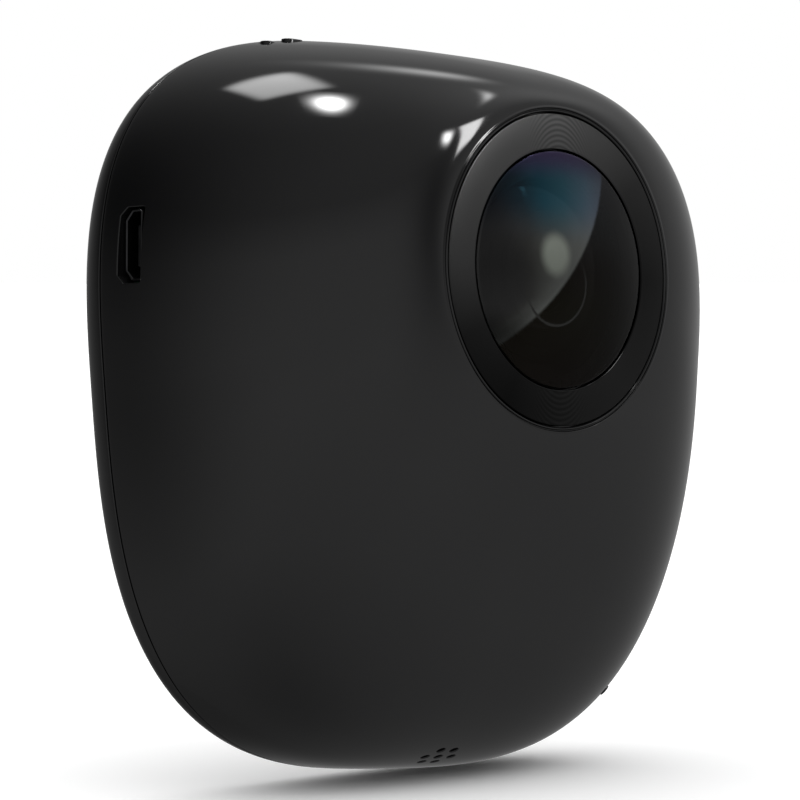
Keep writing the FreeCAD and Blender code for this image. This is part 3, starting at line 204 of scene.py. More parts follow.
class Shading:
    """A node tree, of a material or of the world, whose nodes are all made by one method."""

    def __init__(self, owner):
        owner.use_nodes = True
        self.tree = owner.node_tree

    def fill(self, socket, value):
        if isinstance(value, Wire):
            self.tree.links.new(value.socket, socket)
        elif socket.type == "RGBA":
            socket.default_value = (*value, 1.0)
        else:
            socket.default_value = value

    def node(self, kind, settings, inputs, output=0):
        """Adds a node: its type, its settings, what its sockets hold, and which output counts."""
        made = self.tree.nodes.new(kind)
        for name, setting in settings.items():
            if name == "stops":
                ramp = made.color_ramp.elements
                while len(ramp) < len(setting):
                    ramp.new(1.0)
                for element, (position, colour) in zip(ramp, setting):
                    element.position = position
                    element.color = (*colour, 1.0)
            else:
                setattr(made, name, setting)
        for name, value in inputs.items():
            self.fill(made.inputs[name], value)
        return Wire(self, made.outputs[output])

    def parts(self, vector):
        """The three parts of a vector as Wires."""
        first = self.node("ShaderNodeSeparateXYZ", {}, {0: vector}, "X")
        return [first] + [Wire(self, first.socket.node.outputs[axis]) for axis in "YZ"]

    def rise(self, value, start, end):
        """From 0 at the start to 1 at the end, smoothly."""
        return self.node("ShaderNodeMapRange", {"interpolation_type": "SMOOTHSTEP"},
                         {"Value": value, "From Min": start, "From Max": end}, "Result")

    def blend(self, share, first, second, kind="MIX"):
        """A colour between two others by a share, or their sum or product."""
        return self.node("ShaderNodeMix", {"data_type": "RGBA", "blend_type": kind},
                         {"Factor": share, 6: first, 7: second}, 2)

    def tint(self, share, stops):
        """A colour ramp along a share from 0 to 1."""
        return self.node("ShaderNodeValToRGB", {"stops": stops}, {0: share}, "Color")


class Finish(Shading):
    """A material with one Principled shader, whose constants are set on its own sockets."""

    def __init__(self, name, **constants):
        self.material = bpy.data.materials.new(name)
        super().__init__(self.material)
        self.shader = self.tree.nodes["Principled BSDF"]
        self.set(**constants)

    def set(self, **values):
        """Sets sockets by name, with _ for the spaces in the name: a number, a colour or a Wire."""
        for name, value in values.items():
            self.fill(self.shader.inputs[name.replace("_", " ")], value)

    def place(self):
        """Object coordinates in metres, the same as the CAD frame's."""
        return self.node("ShaderNodeTexCoord", {}, {}, "Object")

    def noise(self, per_mm, detail=2.0, stretch=(1.0, 1.0, 1.0), roughness=0.5):
        """Soft noise with about so many specks to a millimetre, from 0 to 1."""
        point = self.node("ShaderNodeMapping", {}, {"Vector": self.place(), "Scale": stretch})
        return self.node("ShaderNodeTexNoise", {}, {
            "Vector": point, "Scale": per_mm / MM, "Detail": detail, "Roughness": roughness})

    def bump(self, height, deep_mm, strength=1.0):
        """A Bump node whose height runs over so many millimetres."""
        return self.node("ShaderNodeBump", {}, {
            "Strength": strength, "Distance": deep_mm * MM, "Height": height}, "Normal")


# %% [markdown]
# # Finishes
# Nearly everything outside is black, so the finishes differ in gloss and grain more than in colour.
# Moulded gloss plastic is nearly a mirror with faint rub marks. The bezel is turned metal with very fine rings round
# the lens axis, and light painted round it by angle. The front lens carries a painted reflection. Boards, shields and
# foils inside get their own small patterns.

# %% Outside finishes
LENS_HEIGHT = 13.45


def gloss_black():
    """Polished black plastic: nearly a mirror, with a faint uneven polish."""
    finish = Finish("gloss_black", IOR=1.5)
    rub = finish.noise(0.05, 3.0)
    fine = finish.noise(1.3, 2.0)
    finish.set(Base_Color=finish.tint(rub, [(0.3, (0.0085, 0.0085, 0.0090)), (0.7, (0.0105, 0.0105, 0.0110))]),
               Roughness=0.045 + rub * 0.02 + fine * 0.008)
    return finish.material


def lens_place(finish):
    """Distances across and up from the lens axis in millimetres, as two Wires."""
    across, forward, up = finish.parts(finish.place())
    return across / MM, up / MM - LENS_HEIGHT


def away(across, up, from_across=0.0, from_up=0.0):
    """Distance of two Wires from a point."""
    side, rise = across - from_across, up - from_up
    return (side * side + rise * rise) ** 0.5


def turned_satin():
    """Fine turned rings round the lens axis, under a dark satin coat."""
    finish = Finish("satin_black", IOR=1.5)
    rings = (away(*lens_place(finish)) * (2 * np.pi / 0.16)).apply("SINE") * 0.5 + 0.5
    grain = finish.noise(6.0, 3.0)
    finish.set(Base_Color=finish.tint(rings, [(0.0, (0.010, 0.010, 0.011)), (1.0, (0.018, 0.018, 0.019))]),
               Roughness=0.34 + rings * 0.08 + grain * 0.05,
               Normal=finish.bump(rings, 0.004))
    return finish.material


RING_PITCH, BEAT_PITCH = 0.121, 0.58


def bezel_satin_painted_light():
    """Anodised ring with painted light that runs round it by angle; its turned rings beat above and below the lens."""
    finish = Finish("bezel_satin_painted_light", Metallic=1.0)
    across, up = lens_place(finish)
    radius = away(across, up)
    angle = up.apply("ARCTAN2", across) / (2 * np.pi)
    round_share = angle.apply("FRACT")
    # Painted light: brightest at the top and upper left of the ring, darkest at the lower left.
    painted_light_by_angle = finish.tint(round_share, [
        (0.0, (0.0135,) * 3), (0.11, (0.029,) * 3), (0.17, (0.060,) * 3), (0.25, (0.090,) * 3),
        (0.39, (0.080,) * 3), (0.50, (0.050,) * 3), (0.58, (0.0150,) * 3), (0.67, (0.0075,) * 3),
        (0.78, (0.017,) * 3), (0.86, (0.021,) * 3), (1.0, (0.0135,) * 3)])
    height = up.apply("ABSOLUTE")
    beat = ((radius - height) / RING_PITCH + height / BEAT_PITCH) * (2 * np.pi)
    near = 1.0 - finish.rise(across.apply("ABSOLUTE"), 1.5, 5.5)
    shown = beat.apply("SINE") * near * 0.28 + 1.0
    edge = finish.rise(radius, 13.15, 13.0)
    finish.set(Base_Color=finish.blend(1.0, painted_light_by_angle, shown, "MULTIPLY"), Roughness=0.30 - edge * 0.22)
    return finish.material


def matt(name, low, high, per_mm, rough, deep_mm, detail=3.0, **constants):
    """A matt material: two close colours in a fine grain that also dents the surface a little."""
    finish = Finish(name, **constants)
    grain = finish.noise(per_mm, detail)
    finish.set(Base_Color=finish.tint(grain, [(0.3, low), (0.7, high)]),
               Roughness=rough - 0.05 + grain * 0.1, Normal=finish.bump(grain, deep_mm))
    return finish.material


SHEEN_ACROSS, SHEEN_UP, SHEEN_RADIUS = -32.9, 27.1, 42.75
SHEEN_END = 1.4


def glass_with_painted_reflection():
    """A coated front lens with a painted reflection. A big soft window's sheen is painted into its colour, with one
    round, sharp edge: teal and blue above, grey below, darker away from the edge. Outside the sheen the coat looks
    warm black, painted lighter towards the top."""
    finish = Finish("front_glass", Metallic=1.0, Roughness=0.02, Alpha=0.72)
    across, up = lens_place(finish)
    # Painted reflection: the sheen of a big soft window, bounded by a circle round a far point.
    inside = SHEEN_RADIUS - away(across, up, SHEEN_ACROSS, SHEEN_UP)
    fade = inside / (up * 0.75 + 4.5).apply("MAXIMUM", 2.0) / SHEEN_END
    above = finish.tint(fade, [
        (0.0, (0.340, 0.420, 0.560)), (0.18, (0.195, 0.350, 0.470)), (0.36, (0.088, 0.270, 0.360)),
        (0.54, (0.046, 0.180, 0.255)), (0.71, (0.052, 0.090, 0.122)), (0.93, (0.062, 0.068, 0.082))])
    below = finish.tint(fade, [
        (0.0, (0.390, 0.410, 0.390)), (0.36, (0.230, 0.240, 0.225)), (0.71, (0.135, 0.135, 0.130)),
        (0.93, (0.115, 0.115, 0.115))])
    low_end = finish.rise(up, -7.8, -4.0) * 0.75 + 0.25
    sheen = finish.blend(finish.rise(up, 2.0, 7.5), finish.blend(1.0, below, low_end, "MULTIPLY"), above)
    sheen = finish.blend(finish.rise(up, 9.0, 12.4), sheen, (0.165, 0.130, 0.300))
    # The coat outside the painted sheen, painted lighter towards the top.
    dark = finish.tint(up / 26 + 0.5, [
        (0.04, (0.025, 0.021, 0.018)), (0.35, (0.031, 0.029, 0.021)), (0.50, (0.031, 0.027, 0.023)),
        (0.65, (0.038, 0.040, 0.040)), (0.80, (0.055, 0.058, 0.064)), (0.96, (0.094, 0.086, 0.121))])
    coat = finish.blend(finish.rise(inside, -0.25, 0.25), dark, sheen)
    # Painted highlight: a pale patch where the lens group behind shows through the glass.
    painted_patch = 1.0 - finish.rise(away(across / 2.1, up / 2.3, -2.6 / 2.1, 1.3 / 2.3), 0.55, 1.25)
    coat = finish.blend(painted_patch, coat, (0.80, 0.87, 0.76))
    # Painted light: the reflection is lifted round one dim spot of the lens.
    shaded = away(across, up, -9.0, 3.8)
    painted_lift = (1.0 - (shaded * shaded / -32.0).apply("EXPONENT") * 0.72) ** -1.0
    # Painted highlight: a thin light ring round the lens group, on the lower half of the lens.
    ring = (away(across, up, -2.3, -1.9) - 4.3).apply("ABSOLUTE")
    coat = finish.blend(finish.rise(ring, 0.22, 0.05) * (1.0 - finish.rise(up, -2.5, 1.5)), coat, (0.12, 0.12, 0.115))
    # Painted light: ramps by height, then by breadth, even out the reflected surroundings.
    even = finish.tint(up / 26 + 0.5, [
        (0.04, (0.58,) * 3), (0.25, (0.48,) * 3), (0.50, (0.38,) * 3), (0.65, (0.44,) * 3), (0.80, (0.34,) * 3),
        (0.96, (0.23,) * 3)])
    coat = finish.blend(1.0, coat, even, "MULTIPLY")
    sides = finish.tint(across / 26 + 0.5, [
        (0.04, (0.66,) * 3), (0.19, (0.85,) * 3), (0.32, (1.0,) * 3), (0.62, (1.0,) * 3), (0.73, (0.74,) * 3),
        (0.81, (0.50,) * 3), (0.90, (0.34,) * 3)])
    coat = finish.blend(1.0, coat, sides, "MULTIPLY")
    finish.set(Base_Color=finish.blend(1.0, coat, painted_lift, "MULTIPLY"))
    return finish.material


def plain_glass():
    """The lenses behind: dark, coated and half clear, with a faint uneven polish."""
    finish = Finish("lens_glass", Metallic=1.0, Roughness=0.05, Alpha=0.35)
    film = finish.noise(0.4, 1.0)
    finish.set(Base_Color=finish.tint(film, [(0.3, (0.020, 0.028, 0.034)), (0.7, (0.034, 0.034, 0.040))]))
    return finish.material


# %% Inside finishes
def board_green():
    """Green solder mask with the faint lines of the copper under it."""
    finish = Finish("circuit_board", Roughness=0.38, IOR=1.5)
    across = finish.noise(0.9, 0.0, (1.0, 1.0, 0.12))
    along = finish.noise(0.9, 0.0, (0.12, 1.0, 1.0))
    lines = across.apply("GREATER_THAN", 0.55) * 0.5 + along.apply("GREATER_THAN", 0.55) * 0.5
    finish.set(Base_Color=finish.tint(lines, [(0.0, (0.008, 0.075, 0.030)), (1.0, (0.022, 0.150, 0.060))]),
               Normal=finish.bump(lines, 0.03))
    return finish.material


def metal(name, low, high, rough, stretch):
    """Drawn or plated metal: a grain stretched along one axis breaks up the gloss."""
    finish = Finish(name, Metallic=1.0)
    grain = finish.noise(4.0, 3.0, stretch)
    finish.set(Base_Color=finish.tint(grain, [(0.3, low), (0.7, high)]),
               Roughness=rough - 0.08 + grain * 0.16, Normal=finish.bump(grain, 0.003))
    return finish.material


def woven_black():
    """A fine black mesh cloth: two crossed sets of threads."""
    finish = Finish("speaker_cloth", Roughness=0.9)
    side, deep, up = finish.parts(finish.place())
    thread = 2 * np.pi / (0.22 * MM)
    weave = (side * thread).apply("SINE") * (deep * thread).apply("SINE") * 0.5 + 0.5
    finish.set(Base_Color=finish.tint(weave, [(0.2, (0.004, 0.004, 0.004)), (0.9, (0.030, 0.030, 0.031))]),
               Normal=finish.bump(weave, 0.05))
    return finish.material


finishes = {
    "gloss_black": gloss_black(),
    "satin_black": turned_satin(),
    "lens_glass": plain_glass(),
    "circuit_board": board_green(),
    "speaker_cloth": woven_black(),
    "black_rubber": matt("black_rubber", (0.006, 0.006, 0.006), (0.011, 0.011, 0.011), 3.0, 0.75, 0.01),
    "foam_pad": matt("foam_pad", (0.030, 0.030, 0.031), (0.060, 0.060, 0.062), 2.2, 0.85, 0.06, 5.0),
    "screw_steel": metal("screw_steel", (0.30, 0.30, 0.31), (0.42, 0.42, 0.43), 0.32, (1, 0.2, 1)),
    "black_alloy": metal("black_alloy", (0.025, 0.025, 0.026), (0.050, 0.050, 0.052), 0.40, (1, 0.2, 1)),
    "standoff_brass": metal("standoff_brass", (0.62, 0.44, 0.17), (0.76, 0.58, 0.27), 0.28, (1, 0.2, 1)),
    "chip_ceramic": matt("chip_ceramic", (0.20, 0.18, 0.16), (0.28, 0.25, 0.22), 5.0, 0.55, 0.01),
    "cable_film": matt("cable_film", (0.36, 0.17, 0.035), (0.50, 0.26, 0.060), 0.8, 0.30, 0.005),
    "chip_black": matt("chip_black", (0.014, 0.014, 0.015), (0.028, 0.028, 0.030), 6.0, 0.60, 0.01),
    "soft_pad": matt("soft_pad", (0.26, 0.32, 0.42), (0.36, 0.42, 0.52), 1.5, 0.80, 0.03),
    "spreader_alloy": metal("spreader_alloy", (0.52, 0.52, 0.53), (0.68, 0.68, 0.69), 0.35, (0.15, 1, 1)),
    "shield_steel": metal("shield_steel", (0.48, 0.48, 0.46), (0.64, 0.64, 0.61), 0.30, (1, 1, 0.15)),
    "battery_wrap": metal("battery_wrap", (0.30, 0.30, 0.32), (0.42, 0.42, 0.44), 0.45, (1, 1, 1)),
    "contact_brass": metal("contact_brass", (0.72, 0.52, 0.20), (0.86, 0.66, 0.30), 0.22, (0.2, 1, 1)),
    "card_plastic": matt("card_plastic", (0.012, 0.012, 0.013), (0.022, 0.022, 0.024), 4.0, 0.45, 0.008),
}
slot_of = {part["node"]: part["material_slot"] for part in frame["record"]["subparts"]}
for name, carried in nodes.items():
    carried.data.materials.clear()
    carried.data.materials.append(finishes[slot_of[name]])
print(len(finishes), "finishes on", len(nodes), "CAD nodes")


def dress(piece, name, finish=None):
    """Gives a new piece its body and the finish of its CAD node's slot, or the finish given, and hides the CAD node it
    stands for.
    """
    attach(piece, nodes[name]["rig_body"])
    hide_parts(name)
    piece.data.materials.append(finish or finishes[slot_of[name]])
    return piece


# %% [markdown]
# # The pebble's skin
# Seen from the front the body is an egg-shaped superellipse, fuller than an ellipse and wider at the
# top. Towards the lens each section blends from that egg to the round lens rim. Two powers set how:
# one keeps the sides full, the other spreads the slope into the rim. A formula gives an even gloss
# that the CAD facets can't, because reflections show every flat spot.

# %% Skin of the body
HALF_WIDTH, HALF_HEIGHT = 39.0, 40.0
EGG_TAPER, EGG_POWER = 0.10, 2.93
PAD_PROUD = 0.8
WIDEST_DEPTH, NOSE_DEPTH = 5.2, 33.8
BACK_INSET = 4.35
RIM_RADIUS = 17.5
WALL, NOSE_SHELL = 1.6, 2.2
COLUMNS = 352


def angle_of(turn):
    """The direction for a turn counted in quarters, eased so that points gather near the axes."""
    gather = EGG_POWER / 2
    quarter = np.floor(turn)
    share = turn - quarter
    eased = share ** gather / (share ** gather + (1 - share) ** gather)
    return (quarter + eased) * np.pi / 2


def egg(angle, inset=0.0):
    """Superellipse: each coordinate is a power of the cosine or sine, and the width grows with height."""
    sine, cosine = np.sin(angle), np.cos(angle)
    rise = np.sign(sine) * np.abs(sine) ** (2 / EGG_POWER)
    reach = np.sign(cosine) * np.abs(cosine) ** (2 / EGG_POWER)
    return (HALF_WIDTH - inset) * (1 + EGG_TAPER * rise) * reach, (HALF_HEIGHT - inset) * rise


def at_depth(across, depth, up):
    """Points from their distance across, their depth forward of the back and their height."""
    return np.stack(np.broadcast_arrays(across, -PAD_PROUD - depth, up), axis=-1).astype(float)


def front_skin(turn, share, inset=0.0, drop=0.0):
    """Rim circle plus a shrinking share of the way out to the egg, as the depth runs to the nose."""
    angle = angle_of(turn)
    share = np.clip(share, 0.0, 1.0)
    across, up = egg(angle, inset)
    rim = RIM_RADIUS - inset
    rim_across, rim_up = rim * np.cos(angle), LENS_HEIGHT + rim * np.sin(angle)
    spread = 1.54 + 0.47 * np.sin(angle)
    bulge = 2.16 - 0.99 * np.sin(angle)
    blend = (1 - share ** bulge) ** (1 / spread)
    depth = WIDEST_DEPTH + (NOSE_DEPTH - drop - WIDEST_DEPTH) * share
    return at_depth(rim_across + (across - rim_across) * blend, depth, rim_up + (up - rim_up) * blend)


def back_skin(turn, lean, inset=0.0, drop=0.0):
    """A quarter ellipse from the widest egg, at lean 0, to the flat back, at a right angle."""
    across, up = egg(angle_of(turn), inset)
    drawn = BACK_INSET * (1 - np.cos(lean))
    depth = drop + (WIDEST_DEPTH - drop) * (1 - np.sin(lean))
    return at_depth(across * (1 - drawn / (HALF_WIDTH - inset)), depth, up * (1 - drawn / (HALF_HEIGHT - inset)))


# %% [markdown]
# # Openings in a curved skin
# A hole has to leave the skin's shape alone, or the gloss breaks round it. So a block of the grid is
# taken out, a finer flat window of points is laid in its place and dropped onto the true skin, and
# each hole gets rings of points round its outline: a small rounded edge, then the wall. Two loops of
# points with different counts are sewn with triangles, in the order of their angles.

# %% Windows and holes
Window = namedtuple("Window", "origin side up out half_side half_up holes")
WINDOW_STEP = 0.25
EDGE_ROUND = 0.12
FINE_ARC = 6


def outline(core, radius, side_step=0.4):
    """The core's corners swept by arcs of the radius, with the sides between them divided."""
    core = np.atleast_2d(np.array(core, float))
    if len(core) == 1:
        sweep = np.linspace(0, 2 * np.pi, 6 * FINE_ARC, endpoint=False)
        return core + radius * np.stack([np.cos(sweep), np.sin(sweep)], axis=1)
    ahead = np.roll(core, -1, axis=0) - core
    heading = np.unwrap(np.arctan2(ahead[:, 1], ahead[:, 0]))
    before = np.concatenate([heading[-1:] - 2 * np.pi, heading[:-1]])
    loop = []
    for corner, step, first, last in zip(core, ahead, before, heading):
        sweep = np.linspace(first, last, FINE_ARC + 1) - np.pi / 2
        arc = corner + radius * np.stack([np.cos(sweep), np.sin(sweep)], axis=1)
        count = max(1, int(np.hypot(*step) / side_step))
        share = np.arange(1, count)[:, None] / count
        loop += [arc, arc[-1] + share * step]
    return np.vstack(loop)


def flat(points, window):
    """Coordinates across and up in a window's own plane."""
    away = points - window.origin
    return np.stack([away @ window.side, away @ window.up], axis=-1)


def dropped(skin, window, wanted, start):
    """Newton's steps on the skin's two parameters until each point lies under its place in the window."""
    at = np.tile(np.array(start, float), (len(wanted), 1))
    tiny = 1e-5
    for step in range(14):
        here = flat(skin(at[:, 0], at[:, 1]), window)
        by_turn = (flat(skin(at[:, 0] + tiny, at[:, 1]), window) - here) / tiny
        by_share = (flat(skin(at[:, 0], at[:, 1] + tiny), window) - here) / tiny
        miss = wanted - here
        area = by_turn[:, 0] * by_share[:, 1] - by_turn[:, 1] * by_share[:, 0]
        at[:, 0] += (miss[:, 0] * by_share[:, 1] - miss[:, 1] * by_share[:, 0]) / area
        at[:, 1] += (by_turn[:, 0] * miss[:, 1] - by_turn[:, 1] * miss[:, 0]) / area
        at[:, 1] = np.clip(at[:, 1], 0.002, 0.998)
    return skin(at[:, 0], at[:, 1])


def block_loop(points, rows, columns):
    """The points round a rectangular block of a grid, in order."""
    (low, high), (left, right) = rows, columns
    return np.vstack([points[low, left:right], points[low:high, right],
                      points[high, right:left:-1], points[high:low:-1, left]])


def sewn(outer, inner, centre, window):
    """Triangles between two loops round one centre: each step takes the point whose angle comes next."""
    def in_order(loop):
        away = flat(loop, window) - centre
        angle = np.arctan2(away[:, 1], away[:, 0])
        order = np.argsort(angle)
        return loop[order], angle[order]
    outer, outer_angle = in_order(outer)
    inner, inner_angle = in_order(inner)
    count = len(outer)
    from_outer = np.argsort(np.concatenate([outer_angle, inner_angle]), kind="stable") < count
    on_outer = (np.cumsum(from_outer) - 1) % count
    on_inner = (np.cumsum(~from_outer) - 1) % len(inner)
    newest = np.where(from_outer, on_outer, count + on_inner)
    older = np.where(from_outer, (on_outer - 1) % count, count + (on_inner - 1) % len(inner))
    across = np.where(from_outer, count + on_inner, on_outer)
    return np.vstack([outer, inner]), np.stack([older, newest, across], axis=1)


def block_under(places, low, high):
    """Rows and columns of the smallest grid block that holds every point between two corners."""
    inside = np.all((places > low) & (places < high), axis=-1)
    rows, columns = np.nonzero(inside.any(axis=1))[0], np.nonzero(inside.any(axis=0))[0]
    return (rows[0] - 1, rows[-1] + 1), (columns[0] - 1, columns[-1] + 1)


def opened(skin, points, shares, windows, rings):
    """A skin's grid with its windows laid in. Returns the parts, and the last ring of every hole."""
    kept = np.ones((points.shape[0] - 1, points.shape[1]), bool)
    parts, ends = [], []
    for window in windows:
        near = np.linalg.norm(points - window.origin, axis=-1)
        places = np.where(near[..., None] < 16.0, flat(points, window), 1e3)
        row, column = np.unravel_index(near.argmin(), near.shape)
        start = (4.0 * column / points.shape[1], shares[row])
        reach = np.array([window.half_side, window.half_up])
        rows, columns = block_under(places, -reach - 0.2, reach + 0.2)
        kept[rows[0]:rows[1], columns[0]:columns[1]] = False
        steps = np.round(2 * reach / WINDOW_STEP).astype(int)
        across, up = (np.linspace(-half, half, step + 1) for half, step in zip(reach, steps))
        plan = np.stack(np.meshgrid(across, up), axis=-1)
        pane = dropped(skin, window, plan.reshape(-1, 2), start).reshape(plan.shape[:2] + (3,))
        edge = block_loop(pane, (0, len(up) - 1), (0, len(across) - 1))
        parts.append(sewn(block_loop(points, rows, columns), edge, np.zeros(2), window))
        pane_kept = np.ones((len(up) - 1, len(across) - 1), bool)
        for core, radius in window.holes:
            core = np.atleast_2d(np.array(core, float))
            middle = core.mean(axis=0)
            grow = radius + rings[0][0] + 0.02
            hole_rows, hole_columns = block_under(plan, core.min(axis=0) - grow, core.max(axis=0) + grow)
            pane_kept[hole_rows[0]:hole_rows[1], hole_columns[0]:hole_columns[1]] = False
            loops = []
            for wider, deeper in rings:
                loop = dropped(skin, window, outline(core, radius + wider), start)
                loops.append(loop - deeper * window.out)
            parts.append(sewn(block_loop(pane, hole_rows, hole_columns), loops[0], middle, window))
            parts.append(grid_part(np.stack(loops)))
            ends.append(loops[-1])
        faces = grid_faces(len(up), len(across), around=False)[pane_kept.reshape(-1)]
        parts.append((pane.reshape(-1, 3), faces))
    faces = grid_faces(*points.shape[:2])[kept.reshape(-1)]
    return parts + [(points.reshape(-1, 3), faces)], ends


# %% [markdown]
# # Where the openings are
# The power port is on one side and the card slot on the other, two buttons are on top, seven speaker
# holes are low on the front and a small reset button is low on the right. Each window is a small flat
# frame: its middle, two directions in it and the one that points outwards. The two round groups sit
# square to the skin, the others are square to the body's axes, as their pieces slide in straight.

# %% Windows of this body
def unit(vector):
    return np.array(vector, float) / np.linalg.norm(vector)


def skin_frame(turn, share):
    """The skin's point and its outward normal, from the cross product of its two slopes."""
    tiny = 1e-4
    here = front_skin(turn, share)
    by_turn = front_skin(turn + tiny, share) - front_skin(turn - tiny, share)
    by_share = front_skin(turn, share + tiny) - front_skin(turn, share - tiny)
    return here, unit(np.cross(by_turn, by_share))


def turn_of(angle):
    """The eased turn, in quarters, at a direction: the easing formula solved backwards."""
    quarter = np.floor(angle / (np.pi / 2))
    eased = angle / (np.pi / 2) - quarter
    share = eased ** (2 / EGG_POWER) / (eased ** (2 / EGG_POWER) + (1 - eased) ** (2 / EGG_POWER))
    return quarter + share


def inwards_of(node, place):
    """The middle of a CAD node, moved along one axis to a given place in millimetres."""
    low, high = (np.array(corner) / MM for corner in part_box(node))
    middle = (low + high) / 2
    return np.where(np.isnan(place), middle, place)


GRILLE_SHARE = 0.366
RESET_ANGLE, RESET_SHARE = np.radians(308.0), 0.44
HOLE_RADIUS, HOLE_PITCH, ROW_PITCH = 0.5, 2.0, 1.6
BUTTON_RADIUS, BUTTON_CLEAR = 0.7, 0.15
POWER_ACROSS, PAIRING_ACROSS, POWER_STRETCH = -14.1, -17.9, 1.3
BUTTON_DEPTH = 7.3
PORT_TALL, PORT_WIDE, PORT_CUT = 8.0, 3.1, 0.8
CARD_TALL, CARD_WIDE = 11.6, 1.4
SMALL_CORNER = 0.25

grille_at, grille_out = skin_frame(3.0 + 1e-9, GRILLE_SHARE)
grille_up = unit(np.cross(grille_out, [1.0, 0.0, 0.0]))
holes = [((step * HOLE_PITCH, 0.0), HOLE_RADIUS) for step in (-1, 0, 1)]
holes += [((side * HOLE_PITCH / 2, end * ROW_PITCH), HOLE_RADIUS) for side in (-1, 1) for end in (-1, 1)]
grille = Window(grille_at, np.array([1.0, 0.0, 0.0]), grille_up, grille_out, 3.5, 3.0, holes)

reset_at, reset_out = skin_frame(turn_of(RESET_ANGLE), RESET_SHARE)
reset_side = unit(np.cross(reset_out, [0.0, 1.0, 0.0]))
reset = Window(reset_at, reset_side, np.cross(reset_out, reset_side), reset_out, 1.5, 1.5,
               [((0.0, 0.0), 0.65 + BUTTON_CLEAR)])

port_at = inwards_of("port_shell", (-39.0, np.nan, np.nan))
side, top = PORT_WIDE / 2 - SMALL_CORNER, PORT_TALL / 2 - SMALL_CORNER
cut = PORT_CUT - SMALL_CORNER / 3
port_core = [(side - cut, -top), (side, -top + cut), (side, top - cut), (side - cut, top), (-side, top), (-side, -top)]
port = Window(port_at, np.array([0.0, 1.0, 0.0]), np.array([0.0, 0.0, 1.0]), np.array([-1.0, 0.0, 0.0]),
              2.5, 5.0, [(port_core, SMALL_CORNER)])

card_at = inwards_of("memory_card", (38.6, np.nan, np.nan))
side, top = CARD_WIDE / 2 - SMALL_CORNER, CARD_TALL / 2 - SMALL_CORNER
card_core = [(-side, -top), (side, -top), (side, top), (-side, top)]
card_slot = Window(card_at, np.array([0.0, -1.0, 0.0]), np.array([0.0, 0.0, 1.0]), np.array([1.0, 0.0, 0.0]),
                   1.75, 6.75, [([(-x, y) for x, y in card_core][::-1], SMALL_CORNER)])

buttons_at = np.array([(POWER_ACROSS + PAIRING_ACROSS) / 2, -PAD_PROUD - BUTTON_DEPTH, 38.5])
half_gap = (POWER_ACROSS - PAIRING_ACROSS) / 2
power_core = [(half_gap - POWER_STRETCH / 2, 0.0), (half_gap + POWER_STRETCH / 2, 0.0)]
top_buttons = Window(buttons_at, np.array([1.0, 0.0, 0.0]), np.array([0.0, 1.0, 0.0]),
                     np.array([0.0, 0.0, 1.0]), 4.5, 1.5,
                     [(power_core, BUTTON_RADIUS + BUTTON_CLEAR), ((-half_gap, 0.0), BUTTON_RADIUS + BUTTON_CLEAR)])
WINDOWS = [grille, reset, port, card_slot, top_buttons]
print("openings:", sum(len(window.holes) for window in WINDOWS))

# %% [markdown]
# # The front housing
# One moulded shell from the seam to the lens rim. The outer skin and the skin of its cavity come
# from the same formula with another inset, and share the openings, so the wall has a real thickness.
# Small rounded edges at the seam, round the lens seat and at each hole catch the light as thin lines.

# %% Front housing
ROWS, INSIDE_ROWS = 150, 70
SEAM_ROUND = 0.16
SEAT_RADIUS, SEAT_DEPTH = 16.8, 32.8
BARREL_HOLE = 13.6
turns = np.arange(COLUMNS) * 4.0 / COLUMNS
angles = angle_of(turns)
rounding = np.linspace(0, np.pi / 2, 5)


def wall_shares(first, rows):
    """Shares from the seam to the rim, closer together near the rim."""
    return first + (1 - first) * (1 - (1 - np.linspace(0, 1, rows)) ** 1.7)


outer_shares = wall_shares(SEAM_ROUND / (NOSE_DEPTH - WIDEST_DEPTH), ROWS)
inner_shares = wall_shares(0.0, INSIDE_ROWS)
outer_grid = front_skin(turns[None, :], outer_shares[:, None])


def inner_skin(turn, share):
    return front_skin(turn, share, WALL, NOSE_SHELL)


inner_grid = inner_skin(turns[None, :], inner_shares[:, None])
hole_rings = [(0.1 + EDGE_ROUND, 0.0), (0.04 + EDGE_ROUND, 0.0)]
hole_rings += [(EDGE_ROUND * (1 - np.sin(lean)), EDGE_ROUND * (1 - np.cos(lean))) for lean in rounding]
outer_parts, outer_ends = opened(front_skin, outer_grid, outer_shares, WINDOWS, hole_rings)
inner_parts, inner_ends = opened(inner_skin, inner_grid, inner_shares, WINDOWS, [(0.08, 0.0), (0.0, 0.0)])
tubes = [grid_part(np.stack(pair)) for pair in zip(outer_ends, inner_ends)]

seam_inset = (SEAM_ROUND * (1 - np.cos(rounding)))[:, None]
seam_depth = (WIDEST_DEPTH + SEAM_ROUND * (1 - np.sin(rounding)))[:, None]
across, up = egg(angles[None, :], seam_inset)
seam_edge = np.concatenate([outer_grid[:1], at_depth(across, seam_depth, up)[1:], inner_grid[:1]])


def lens_rings(profile):
    """Rings round the lens axis, one for each radius and depth of the profile, at the skin's angles."""
    radius, depth = np.array(profile, float).T[:, :, None]
    return at_depth(radius * np.cos(angles), depth, LENS_HEIGHT + radius * np.sin(angles))


def rounded_corner(radius, depth, size, inwards):
    """Points of a quarter circle where a flat face, met from outside, turns down along a bore."""
    turn_down = np.linspace(0, np.pi / 2, 6)
    return [(radius + inwards * size * (1 - np.sin(lean)), depth - size * (1 - np.cos(lean))) for lean in turn_down]


